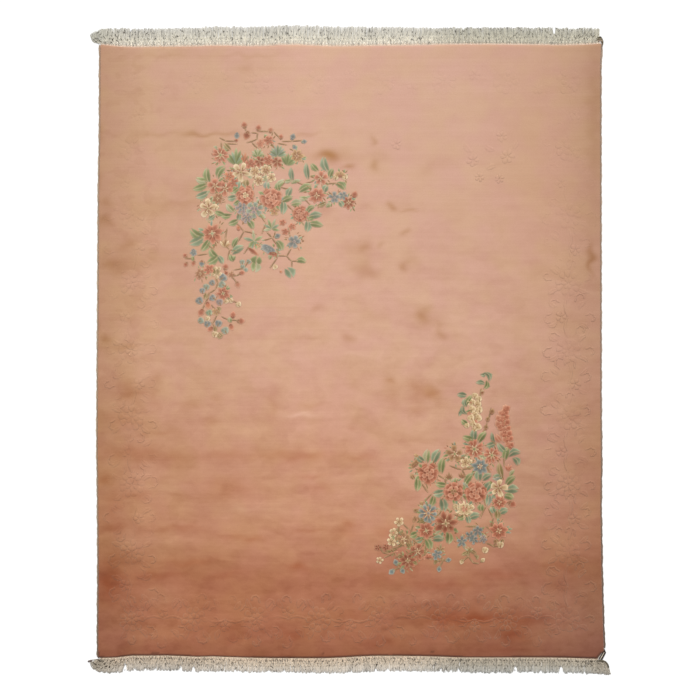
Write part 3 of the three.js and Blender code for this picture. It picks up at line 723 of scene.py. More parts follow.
shades = random.Random(5)


def lay(laid, outline, x, y, heading, length, width, yarns, bend=0.0, lift=0.0):
    """Adds a cushion to a design: its foot in cm, its heading in degrees, its length and
    width in mm, its bend as a share of its length, and its lift over the field in mm."""
    laid.append({
        "outline": outline, "foot": (x * CM, y * CM), "heading": math.radians(heading),
        "length": length * MM, "width": width * MM, "yarns": yarns, "bend": bend,
        "lift": lift * MM, "shade": 1 + shades.uniform(-YARN_UNEVEN, YARN_UNEVEN)})


def ahead(x, y, heading, distance):
    """A place that many mm on from x and y, in cm."""
    turn = math.radians(heading)
    return x + math.cos(turn) * distance * 0.1, y + math.sin(turn) * distance * 0.1


def kept_at(x, y):
    """How much of the border's carving has not been walked flat there."""
    a, b, c, d = (length * MM for length in KEPT["waves"])
    swing = np.sin(x / a + 1.4 * np.sin(y / b)) * np.sin(y / c + 1.2 * np.sin(x / d) + 0.8)
    kept = np.clip(KEPT["mean"] + KEPT["swing"] * swing, KEPT["least"], 1)
    return kept * np.interp(x, (-1.0, 0.0, 1.0), KEPT["across"])


def add_piece(name, places, faces, colours):
    """A piece from its places in metres, its faces, and the dye at each place."""
    mesh = bpy.data.meshes.new(name)
    mesh.from_pydata(np.concatenate(places), [], faces)
    set_attribute(mesh, "dye", "FLOAT_COLOR", np.concatenate(colours))
    piece = bpy.data.objects.new(name, mesh)
    scene.collection.objects.link(piece)
    shade_smooth(piece)
    return piece


def carve(name, laid, middle=(0, 0), cut=1.0, worn=0.0, tint=(1, 1, 1), leaf_tint=(1, 1, 1)):
    """Lays the cushions of a design on the pile as one mesh, the painted shade in its grooves
    darker or lighter by cut, its dyes worn away by a share or turned darker, and its leaves greener."""
    places, colours, groove_shades, faces = [], [], [], []
    count = len(cushion_places)
    rim_highlight = np.array(dye(RIM_HIGHLIGHT)[:3])
    for number, part in enumerate(laid):
        outline, centre_y = OUTLINES[part["outline"]]
        along, across = outline(cushion_turns)
        length, width = part["length"], part["width"]
        margin = 2 * ring_values("out") * MM
        share = ring_values("share")
        x = 0.5 * length + (along - 0.5) * (length * share + margin)
        y = centre_y * width + (across - centre_y) * (width * share + margin)
        along = np.clip(x / length, 0, 1)
        y = y + part["bend"] * length * 4 * along * (1 - along)
        c, s = math.cos(part["heading"]), math.sin(part["heading"])
        x, y = (part["foot"][0] + middle[0] * CM + x * c - y * s,
                part["foot"][1] + middle[1] * CM + x * s + y * c)
        plain = part["yarns"] in ("self", "fresh")
        level = cut
        if plain:
            level = np.interp(part["foot"][1] / CM, *np.transpose(PLAIN_DEPTH))
            level = level * (FRESH if part["yarns"] == "fresh" else kept_at(x, y))
        rise = np.minimum(level, 1) if plain else 1
        up = ring_values("up") * np.where(cushion_rings > 0, rise, 1) * MM
        up += np.where(cushion_rings > 0, part["lift"], 0)
        places.append(np.column_stack((x, y, pile_high.z + waves_at(x, y) + up)))
        foot_yarn, tip_yarn = (np.array(dye(code)[:3]) for code in YARNS[part["yarns"]])
        tone = ring_values("tone", 0) * (1 - along) + ring_values("tone", 1) * along
        yarn = foot_yarn + (tip_yarn - foot_yarn) * tone[:, None]
        # Painted highlight where the rim's knots catch the light.
        yarn = yarn + (rim_highlight - yarn) * RIM_HIGHLIGHT_SHARE * ring_values("rim")[:, None]
        yarn = yarn * part["shade"] * tint
        if part["yarns"] in LEAF_YARNS:
            yarn = yarn * leaf_tint
        dyed = (ring_values("rim") * PLAIN_RIM * level if plain
                else ring_values("dyed") * (1 - worn))
        colours.append(np.column_stack((yarn, dyed)))
        # Painted shade in the grooves round each cushion.
        groove_shades.append(level * (np.where(cushion_rings < 2, GROOVE_PLAIN, 0) if plain
                                else ring_values("painted_shade")))
        faces += [[v + number * count for v in face] for face in cushion_faces]
    piece = add_piece(name, places, faces, colours)
    set_attribute(piece.data, "painted_shade", "FLOAT", np.concatenate(groove_shades))
    set_lie(piece.data)
    flat_uv(piece.data)
    piece.data.materials.append(wool)
    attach(piece, "root")
    return piece


def wheel(laid, outline, x, y, radius, count, yarns, first=0.0, inner=0.2, broad=1.0,
          lift=0.0, through=360.0):
    """Petals round a middle, each from a share of the radius out to the rim."""
    length = radius * (1 - inner)
    width = broad * 2 * math.pi * radius * PETAL_RING / count
    for i in range(count):
        heading = first + through * i / count + shades.uniform(-STRAY_TURN, STRAY_TURN)
        foot = ahead(x, y, heading, radius * inner)
        lay(laid, outline, *foot, heading, length * shades.uniform(*STRAY_LENGTHS),
            width * shades.uniform(*STRAY_WIDTHS), yarns, shades.uniform(-STRAY_BEND, STRAY_BEND),
            lift=lift + shades.uniform(0, STRAY_LIFT))


def dot(laid, x, y, radius, yarns="cream", lift=0.0):
    """A round bead, or with its lobes and a cleft a small round bloom."""
    lay(laid, "disc", x - radius * 0.1, y, 0, radius * 2, radius * 2, yarns, lift=lift)
    heading = shades.uniform(30, 150)
    if radius > LOBED_FROM:
        size = radius * LOBE["size"]
        for side in (LOBE["turn"], -LOBE["turn"]):
            lobe = ahead(x, y, heading + side, radius * LOBE["out"])
            lay(laid, "disc", *ahead(*lobe, 0, -size), 0, 2 * size, 2 * size, yarns,
                lift=lift + LOBE["lift"])
        lay(laid, "blade", *ahead(x, y, heading, -radius), heading, radius * 1.2, radius * 0.35,
            "tan" if yarns == "cream" else "stem", lift=lift + 0.7)


def leaf(laid, x, y, heading, length, width, yarns, bend=0.0):
    """Two halves with a groove along the vein between them; x and y are its middle."""
    if yarns != "self":
        length *= LEAF_LONGER
        width *= LEAF_WIDER
    foot = ahead(x, y, heading, -length / 2)
    lay(laid, "half", *foot, heading, length, width / 2, yarns, bend)
    lay(laid, "blade", *ahead(*foot, heading - 90, width * 0.22), heading + 2, length * 0.94,
        width * 0.44, "self" if yarns == "self" else DARK_HALF.get(yarns, yarns), bend)


def stalk(laid, points, width):
    """A stem from place to place, in cm: a pale yarn between two dark ones."""
    for (x, y), (next_x, next_y) in zip(points, points[1:]):
        heading = math.degrees(math.atan2(next_y - y, next_x - x))
        length = math.hypot(next_x - x, next_y - y) * 10
        bend = shades.uniform(-0.05, 0.05)
        lay(laid, "strip", *ahead(x, y, heading, -1.5), heading, length + 3, width, "stem", bend)
        lay(laid, "strip", *ahead(x, y, heading, 1), heading, length, width * 0.35, "ochre",
            bend, 0.4)


def sprigs(laid, x, y, radius):
    """Leaflets and tendrils that show between a flower's petals and round it."""
    kind = LEAFLETS
    for i in range(round(radius / kind["each"])):
        heading = shades.uniform(0, 360)
        lay(laid, "blade", *ahead(x, y, heading, radius * kind["out"]),
            heading + shades.uniform(-kind["aside"], kind["aside"]),
            radius * shades.uniform(*kind["length"]), radius * shades.uniform(*kind["width"]),
            shades.choice(kind["yarns"]), lift=kind["lift"])
    kind = TENDRILS
    for i in range(round(radius / kind["each"])):
        heading = shades.uniform(0, 360)
        lay(laid, "blade", *ahead(x, y, heading, radius * shades.uniform(*kind["out"])),
            heading + shades.uniform(-kind["aside"], kind["aside"]),
            shades.uniform(*kind["length"]), shades.uniform(*kind["width"]),
            shades.choice(kind["yarns"]), lift=kind["lift"])


def flower(laid, kind, x, y, radius, yarns, heart, turn=0.0):
    """A flower of one kind, with leaflets and tendrils under it where it is large."""
    if radius > SPRIGS_FROM:
        sprigs(laid, x, y, radius)
    radius *= FLOWER_BROADER
    meant = {"own": yarns, "deep": DEEP.get(yarns, yarns), "heart": heart}
    for outline, share, count, yarn, first, *shape in FLOWERS[kind]:
        wheel(laid, outline, x, y, radius * share, count, meant.get(yarn, yarn), turn + first,
              *shape)
    if kind in HEARTS:
        share, lift = HEARTS[kind]
        dot(laid, x, y, radius * share, heart, lift)


def bud(laid, x, y, heading, length, yarns, calyx="brown"):
    """A bud with its calyx; x and y are its middle."""
    foot = ahead(x, y, heading, -length * 0.5)
    lay(laid, "drop", *ahead(*foot, heading, length * 0.2), heading, length * 0.8,
        length * 0.7, yarns)
    for side in (-28, 28):
        lay(laid, "blade", *foot, heading + side, length * 0.5, length * 0.22, calyx, lift=0.5)


def leaf_fan(laid, x, y, heading, length, count, through, yarns):
    """Blades that spring from one foot."""
    for i in range(count):
        turn = heading + through * (i / (count - 1) - 0.5)
        reach = length * (1 - 0.25 * abs(2 * i / (count - 1) - 1)) * shades.uniform(0.9, 1.05)
        lay(laid, "blade", x, y, turn, reach, length * 0.24, yarns[i % len(yarns)])


def spray(design, stem_width):
    """All the parts of a spray, in the order in which they are knotted over each other."""
    laid = []
    for points in design["stems"]:
        stalk(laid, points, stem_width)
    for add, rows in ((leaf, design["leaves"]), (leaf_fan, design["fans"]),
                      (flower, design["flowers"]), (bud, design["buds"])):
        for row in rows:
            add(laid, *row)
    for row in design["blades"]:
        lay(laid, "blade", *row)
    for row in design["dots"]:
        dot(laid, *row)
    return laid


# The border is carved in the field's own yarn, so only its grooves show, in relief and in painted
# shade: peonies and small blossoms along a scrolling stem, with small scrolls round them.
BORDER_TURN_X = 108
BORDER_TURN_Y = 133
SCROLL_STEP = 16.5
ROSETTE = 62
BLOSSOM = {"radius": 27, "aside": 35}
BORDER_STEM = {"width": 8, "bend": 0.16}
# Leaves round each flower: their turn in degrees, and how far out their middle is in mm.
LEAVES_ROUND = [(50, 100), (-50, 92), (115, 85), (-120, 88)]
BORDER_LEAF = {"length": 54, "width": 24, "bend": 0.12}
# Small scrolls: their turns round each flower in degrees, how far out they start, the length
# of their first strip and their width in mm, and how far each next strip turns and shrinks.
# The far end has worn flat, so nothing shows of them past this place, in cm.
CURLS = {"turns": (78, -84, 30, -24), "out": 84, "first": (24, 36), "strips": 5, "width": 5,
         "bend": 0.12, "turn": (40, 58), "overlap": 0.95, "shrink": 0.82, "end": 100}
border = []


def curl(laid, x, y, heading, reach, way):
    """A scroll carved as short strips that turn in on themselves."""
    for i in range(CURLS["strips"]):
        lay(laid, "strip", x, y, heading, reach, CURLS["width"], "self", CURLS["bend"] * way)
        x, y = ahead(x, y, heading, reach * CURLS["overlap"])
        heading += shades.uniform(*CURLS["turn"]) * way
        reach *= CURLS["shrink"]


def scroll_side(start, end):
    """One side of the border, from corner rosette to corner rosette."""
    (x0, y0), (x1, y1) = start, end
    length = math.hypot(x1 - x0, y1 - y0)
    heading = math.degrees(math.atan2(y1 - y0, x1 - x0))
    count = 2 * round(length / (2 * SCROLL_STEP))
    step = length / count
    for i in range(count):
        x, y = ahead(x0, y0, heading, step * 10 * i)
        way = 1 if i % 4 < 2 else -1
        if i % 2 == 0:
            wheel(border, "petal", x, y, ROSETTE, 9, "self", 17 * i, 0.5, 1.2)
            wheel(border, "petal", x, y, ROSETTE * 0.5, 6, "self", 17 * i, 0.2, 1.1)
        else:
            wheel(border, "petal", *ahead(x, y, heading + 90, BLOSSOM["aside"] * way),
                  BLOSSOM["radius"], 5, "self", 31 * i)
        lay(border, "strip", *ahead(x, y, heading, ROSETTE if i % 2 == 0 else 0), heading,
            step * 10 - ROSETTE, BORDER_STEM["width"], "self", BORDER_STEM["bend"] * way)
        for turn, out in LEAVES_ROUND:
            leaf(border, *ahead(x, y, heading + turn * way, out), heading + turn * way,
                 BORDER_LEAF["length"], BORDER_LEAF["width"], "self", BORDER_LEAF["bend"] * way)
        if y < CURLS["end"]:
            for turn in CURLS["turns"]:
                curl(border, *ahead(x, y, heading + turn, CURLS["out"]), heading + turn + 20,
                     shades.uniform(*CURLS["first"]), way if turn > 0 else -way)


corners = [(-BORDER_TURN_X, -BORDER_TURN_Y), (BORDER_TURN_X, -BORDER_TURN_Y),
           (BORDER_TURN_X, BORDER_TURN_Y), (-BORDER_TURN_X, BORDER_TURN_Y)]
for start, end in zip(corners, corners[1:] + corners[:1]):
    scroll_side(start, end)
# A plain spray carved in the field's corner, and one blossom by itself.
for x, y, size in [(23, 102, 26), (75, 106, 26), (78, 96, 34), (61, 94, 30), (64, 86, 22),
                   (74, 85, 22)]:
    wheel(border, "petal", x, y, size, 6, "fresh", 10 * x)
for x, y, heading in [(69, 100, 150), (70, 91, 20), (82, 102, 60), (58, 100, 120)]:
    leaf(border, x, y, heading, 50, 20, "fresh")
carved_border = carve("carved_border", border)


# The upper spray: a bouquet that hangs to the left, knotted in nearly twenty dyed yarns.
# Places are in cm from its middle, sizes in mm and headings in degrees.
UPPER_SPRAY = {
    "stems": [
        [(-20.8, 38.2), (-18, 36.8), (-13.5, 36.6)], [(-17.5, 35.5), (-12.5, 35.3)],
        [(-8.5, 43.2), (-8, 42)], [(-5, 40.8), (-2.2, 40.5), (-2.5, 37.8), (-7.5, 36)],
        [(-2, 41.5), (3.5, 41.5)], [(-20.2, 36), (-20.2, 31)], [(6, 41.2), (9.3, 38)],
        [(10, 36.5), (15, 36.6), (20, 37)], [(8, 35.5), (12, 34.8)],
        [(12.6, 5), (14.7, 2.9), (16.3, -2)], [(-17.3, -6.5), (-18.2, -11.5)],
        [(0.7, -12.4), (4.8, -11.1), (8.1, -15.3), (7.7, -18.6), (7.3, -21.5), (4, -26)],
        [(7.7, -20.2), (12.2, -20.2), (14.3, -16.5)], [(4.8, -11.1), (2.5, -8.4)],
        [(12.2, -20.2), (14.7, -22.7), (14.7, -25.5)], [(14.7, -22.7), (18, -22.7)],
        [(14.8, -15), (13.5, -9.5), (13.2, -6)], [(-31.7, -19.8), (-27, -19)],
        [(-38, -21.5), (-33.5, -21.8)], [(-15, -29.9), (-12.5, -29.9), (-10.5, -28.6)],
        [(-15, -30.5), (-12.8, -33)], [(-22.9, -31.4), (-22, -33.4), (-23.3, -36.7)],
        [(-23.3, -36.7), (-26.2, -38.4), (-26.6, -40.8), (-28.6, -44.6), (-29.5, -46.6)],
        [(-25.5, -39.5), (-22.5, -42)], [(-25, -44.5), (-22.9, -47)],
        [(-17.2, -40.5), (-14, -42.6), (-12.2, -43.4)], [(-22.4, -49.5), (-24.5, -53.6), (-22.4, -57.8)],
        [(-24.5, -53.6), (-29, -52.5)], [(-20, -50.2), (-15.9, -52), (-12, -52.2)],
        [(22, 16), (25.5, 17)], [(15.5, 17.5), (21, 15), (24, 13.5)],
        [(32.5, 15.5), (37, 15.8), (39, 15)], [(43, 8), (44.5, 9)], [(33, 11.5), (35, 9.5)],
        [(-7.5, 27.5), (-5.5, 24.5)], [(-13, -3.5), (-9, -8), (-12, -13)], [(-9, -8), (-3, -9.5)],
        [(-2, 3), (2, -4), (0, -9)], [(5, 12), (9, 14), (12, 18)], [(9, 14), (14, 13)],
        [(-21, 6), (-24, 10)], [(-12, 20), (-16, 24)], [(-6, -22), (-9, -26), (-14, -27)],
        [(20, 9), (24, 5)], [(-27, 2), (-24, -1)], [(-5, 36), (-2, 33)], [(4, 36), (7, 32)],
        [(-20, -13), (-16, -17)], [(-16, -17), (-17, -22)], [(-16, -17), (-11, -18)],
        [(-28, -14), (-24, -17)], [(-29, 6), (-26, 8)], [(-6, -15), (-9, -19)], [(27, 19), (30, 17)],
        [(38, 20), (41, 18)],
    ],
    "leaves": [
        (-27, 19.8, 95, 70, 28, "green", 0.05), (-30, 17.7, 170, 56, 26, "pale", 0.1),
        (-30.7, 13.8, 197, 72, 27, "green"), (-29.7, 9.9, 200, 62, 28, "teal"),
        (-20.4, 21.5, 55, 64, 30, "green", 0.1), (-17.5, 33.9, 130, 44, 20, "olive"),
        (14.5, 20.3, 95, 62, 20, "teal"), (12.6, 16.8, 190, 40, 14, "pale"),
        (16.7, 16.7, 15, 46, 14, "pale"), (13.3, 11.5, 65, 50, 24, "teal"),
        (12.5, 8.2, 20, 52, 26, "green"), (17, 6.2, 8, 52, 26, "pale"), (10.5, 3.7, 265, 62, 28, "teal"),
        (9, 15.6, 45, 52, 24, "pale"), (7.7, 14, 100, 38, 22, "green"), (2.3, 14.8, 90, 36, 26, "grey"),
        (-8, 16, 90, 34, 26, "olive"), (-12, 15.3, 80, 44, 24, "grey"),
        (-13.2, 12.2, 215, 40, 18, "green"), (-15, 8.5, 190, 40, 24, "teal"),
        (-12.5, 6.2, 215, 34, 16, "green"), (-21.2, 0.9, 160, 46, 20, "green"),
        (-18, 0, 175, 52, 22, "green", 0.08), (-16, 3.4, 130, 50, 24, "pale"),
        (-25, -1.2, 215, 38, 18, "teal"), (-14.2, -3.7, 200, 48, 24, "green"),
        (-5.5, -4.5, 300, 48, 24, "green"), (-11.5, -1, 260, 30, 18, "teal"),
        (0, -0.5, 330, 38, 15, "pale"), (-32.2, -8.9, 148, 76, 32, "green", 0.1),
        (-32.4, -12.8, 205, 72, 36, "teal"), (-28, -15.1, 233, 64, 26, "green"),
        (-13.4, -13.4, 60, 54, 20, "green"), (-12.1, -16.9, 28, 64, 30, "teal"),
        (8.9, -14.9, 300, 52, 28, "green"), (19.4, -22.7, 350, 46, 24, "green", 0.1),
        (13.9, -28.4, 300, 52, 42, "teal"), (-2.8, -22.3, 80, 40, 44, "forest"),
        (-3.2, -25.6, 262, 50, 40, "pale"), (-15.4, -21.2, 110, 34, 18, "green"),
        (-14.2, -21.4, 60, 30, 14, "green"), (-24.1, -18.8, 130, 54, 26, "green", 0.1),
        (-24.3, -22.4, 212, 62, 30, "green"), (-20.4, -22, 300, 42, 22, "teal"),
        (-22.9, -28.1, 270, 34, 30, "olive"), (-34.3, -21.4, 100, 26, 12, "green"),
        (22.1, 21.9, 95, 76, 22, "teal"), (25.8, 23.6, 130, 46, 22, "green"),
        (31.4, 25.2, 105, 72, 30, "teal", 0.08), (34, 21, 65, 44, 22, "green"),
        (39, 14.4, 325, 52, 26, "green", 0.1), (21.3, 13.7, 25, 66, 28, "green"),
        (31.2, 13.3, 60, 34, 26, "teal"), (39.4, 5.6, 300, 30, 24, "teal"),
        (29.5, 5.2, 200, 46, 18, "olive"), (33, 5, 20, 30, 16, "pale"),
        (24.1, 3, 40, 46, 20, "green", 0.1), (26.4, 0, 8, 60, 28, "teal"),
        (26.8, -4.5, 348, 66, 26, "green"), (22.6, -5.6, 262, 50, 28, "teal"),
        (24.2, -1.5, 200, 34, 18, "green"), (20.5, 8.3, 170, 40, 18, "pale"),
        (4, -20.5, 60, 24, 14, "pale"), (6.3, -25.6, 250, 26, 16, "cream"),
        (-27.9, -40.2, 250, 30, 18, "olive"), (-21.2, -46.4, 300, 24, 14, "olive"),
        (-16, -51.8, 90, 24, 18, "pale"), (-23.2, -56.4, 280, 30, 14, "olive"),
    ],
    "fans": [
        (-13.1, 25, 88, 82, 7, 105, ["green", "teal", "forest"]),
        (-2.2, 28.8, 90, 48, 7, 130, ["green", "pale"]),
        (7.6, 29.2, 88, 62, 9, 150, ["teal", "sea", "grey"]),
        (12.2, 24.6, 72, 70, 6, 95, ["green", "forest"]), (-8.9, 26, 92, 58, 4, 60, ["brown", "orange"]),
        (4.7, -6.8, 90, 55, 6, 200, ["green", "teal", "pale"]),
        (-3.9, -12.8, 130, 62, 4, 200, ["green", "pale", "teal"]),
        (-3.9, -12.8, 270, 46, 4, 110, ["green", "teal"]),
        (-18.6, -16, 80, 50, 5, 90, ["ochre", "cream", "tan"]),
        (-1, -14, 200, 36, 3, 70, ["ochre", "orange"]),
    ],
    "flowers": [
        ("daisy", -20.6, 29.7, 38, "coral", "green", 140),
        ("floret", -0.8, 35.4, 24, "rose", "coral", 20), ("floret", 3.1, 37, 25, "coral", "red", 40),
        ("star", 17.2, 29.3, 34, "ochre", "brown"), ("floret", -5.6, 25.4, 27, "coral", "red", 10),
        ("floret", -1.3, 26.5, 26, "red", "brown", 40), ("floret", 3, 27, 25, "coral", "red", 5),
        ("floret", 7.4, 26.3, 26, "red", "brown", 30),
        ("blossom", -10.5, 21.2, 44, "cream", "olive", 60), ("swirl", -3.6, 21.5, 25, "cream", "ochre"),
        ("swirl", 1.9, 22.2, 26, "cream", "tan", 30), ("swirl", -1.6, 17, 24, "cream", "tan", 10),
        ("floret", 4.6, 18.6, 24, "cream", "tan", 45), ("floret", 1.6, 18.2, 16, "pale", "olive"),
        ("blossom", -23.2, 14.4, 40, "coral", "brown", 20),
        ("blossom", -18.2, 13.2, 40, "coral", "brown", 50),
        ("floret", -16.2, 19.2, 27, "orange", "brown"), ("floret", -14.2, 15.9, 26, "coral", "red", 30),
        ("peony", -8.2, 9.9, 45, "coral", "cream"), ("peony", 4.6, 8.3, 52, "coral", "rose", 10),
        ("star", -22, 8.3, 27, "brown", "ochre"), ("blossom", -26.8, 3.3, 43, "cream", "olive", 15),
        ("swirl", -10.2, 3.6, 32, "lilac", "blue"), ("swirl", -3.9, 2.7, 40, "grey", "lilac", 20),
        ("swirl", -7.6, -1.4, 26, "lilac", "blue", 10), ("floret", 6, 2, 24, "ochre", "orange", 20),
        ("floret", 10.1, -3.7, 17, "coral", "brown"), ("floret", 14.7, -5.6, 19, "coral", "brown", 30),
        ("floret", 11.4, -8.2, 19, "coral", "red", 10), ("star", -24.7, -9.1, 50, "coral", "pale", 12),
        ("fan", 4.2, -15, 42, "blue", "blue", 240), ("fan", 5.6, -17.8, 26, "red", "red", 260),
        ("floret", 15.9, -13, 34, "blue", "lilac"), ("star", -30.7, -29.1, 26, "brown", "tan"),
        ("floret", -26.4, -26.8, 26, "coral", "red", 40), ("floret", -15.2, -29.4, 16, "brown", "red"),
        ("star", -19.3, -38.8, 33, "coral", "green", 25), ("floret", -22.6, -47.9, 20, "ochre", "olive"),
        ("star", -21, -59.6, 17, "olive", "brown"), ("blossom", 29.1, 18.2, 34, "coral", "ochre", 18),
        ("star", 27, 9.6, 42, "coral", "brown"), ("fan", 38.6, 18.4, 34, "ochre", "cream", 90),
        ("floret", 35.8, 8.6, 27, "blue", "lilac", 20), ("floret", 40.2, 9.6, 23, "blue", "grey"),
        ("star", 42.8, 6.2, 30, "red", "brown", 10), ("peony", 18.8, 0.4, 39, "coral", "rose"),
        ("floret", -34, -18.6, 16, "blue", "grey", 45),
    ],
    "buds": [
        (-8.8, 44.6, 100, 36, "coral"), (-1.8, 43.2, 80, 34, "coral"), (4.2, 42.2, 80, 32, "rose"),
        (-12.5, 39.3, 265, 34, "blue", "blue"), (-12.8, 37, 10, 20, "red"), (-7.6, 39.6, 250, 46, "red"),
        (9.3, 38.8, 80, 28, "coral"), (15.2, 38.8, 70, 34, "blue", "blue"),
        (20.8, 36.4, 10, 28, "blue", "grey"), (16.1, 33.6, 300, 28, "blue", "grey"),
        (-11.7, -6.2, 90, 28, "orange", "coral"), (7.6, -10.3, 30, 32, "blue", "grey"),
        (-38.1, -20, 130, 28, "coral"), (-37.8, -24.4, 240, 28, "coral"), (-34, -23.8, 255, 28, "coral"),
        (-29.9, -23.9, 265, 34, "blue"), (-34, -18.6, 270, 40, "blue", "blue"),
        (-18.1, -25.6, 80, 36, "coral"), (-17.8, -28.6, 300, 26, "red", "coral"),
        (-9.9, -28.5, 20, 30, "coral", "red"), (-12.1, -34.4, 290, 36, "rose"),
        (-26.8, -44.6, 285, 38, "orange", "red"), (-30.3, -48.2, 240, 42, "coral", "red"),
        (-14.4, -49.3, 80, 36, "coral", "red"), (-10.5, -52.4, 0, 40, "coral"),
        (-15.2, -55.4, 290, 34, "coral", "red"), (-25.7, -56.4, 220, 34, "coral", "red"),
        (45.8, 10.2, 70, 38, "coral", "red"), (42.6, 3.8, 300, 20, "coral", "red"),
    ],
    "blades": [(-7.3, -15.8, 323, 70, 20, "red")],
    "dots": [
        (-19.3, -30.9, 19, "blue"), (-19.8, -34.3, 17, "grey"), (-24.7, -33.4, 14, "blue"),
        (-27.6, -35.5, 15, "grey"), (-29.5, -37.3, 14, "blue"), (-31, -42.3, 18, "blue"),
        (-24.5, -40.9, 16, "blue"), (-21, -43, 16, "lilac"), (-26.2, -48.3, 15, "teal"),
        (-30.3, -52.2, 15, "grey"), (-27, -53.8, 17, "blue"), (-21.6, -53.6, 17, "blue"),
        (-18.3, -57.1, 18, "grey"), (-23.3, -59, 15), (-27, -51.2, 12), (-17.9, -42.6, 12),
        (-15.4, -42.3, 12), (-11.7, -44.2, 13), (-22.9, -26.4, 9), (-21.2, -26.4, 9), (-24.1, -29.3, 9),
        (-20.6, -29.2, 8), (-22.4, -30.6, 8), (36.4, 18.8, 14), (41, 18.8, 14), (6.8, -25.6, 9),
        (9.3, -28, 6, "orange"), (-9.8, -23.2, 12, "grey"), (-9.6, -25.6, 11, "grey"),
        (-8, -27, 10, "grey"), (-6.6, -23, 11, "grey"), (-27.9, 1.2, 12), (-22.8, 3.9, 12),
    ],
}
upper_spray = carve("upper_spray", spray(UPPER_SPRAY, 4), (-43.5, 67), 0.85, worn=0.1,
                    leaf_tint=(0.93, 1.03, 1.02))


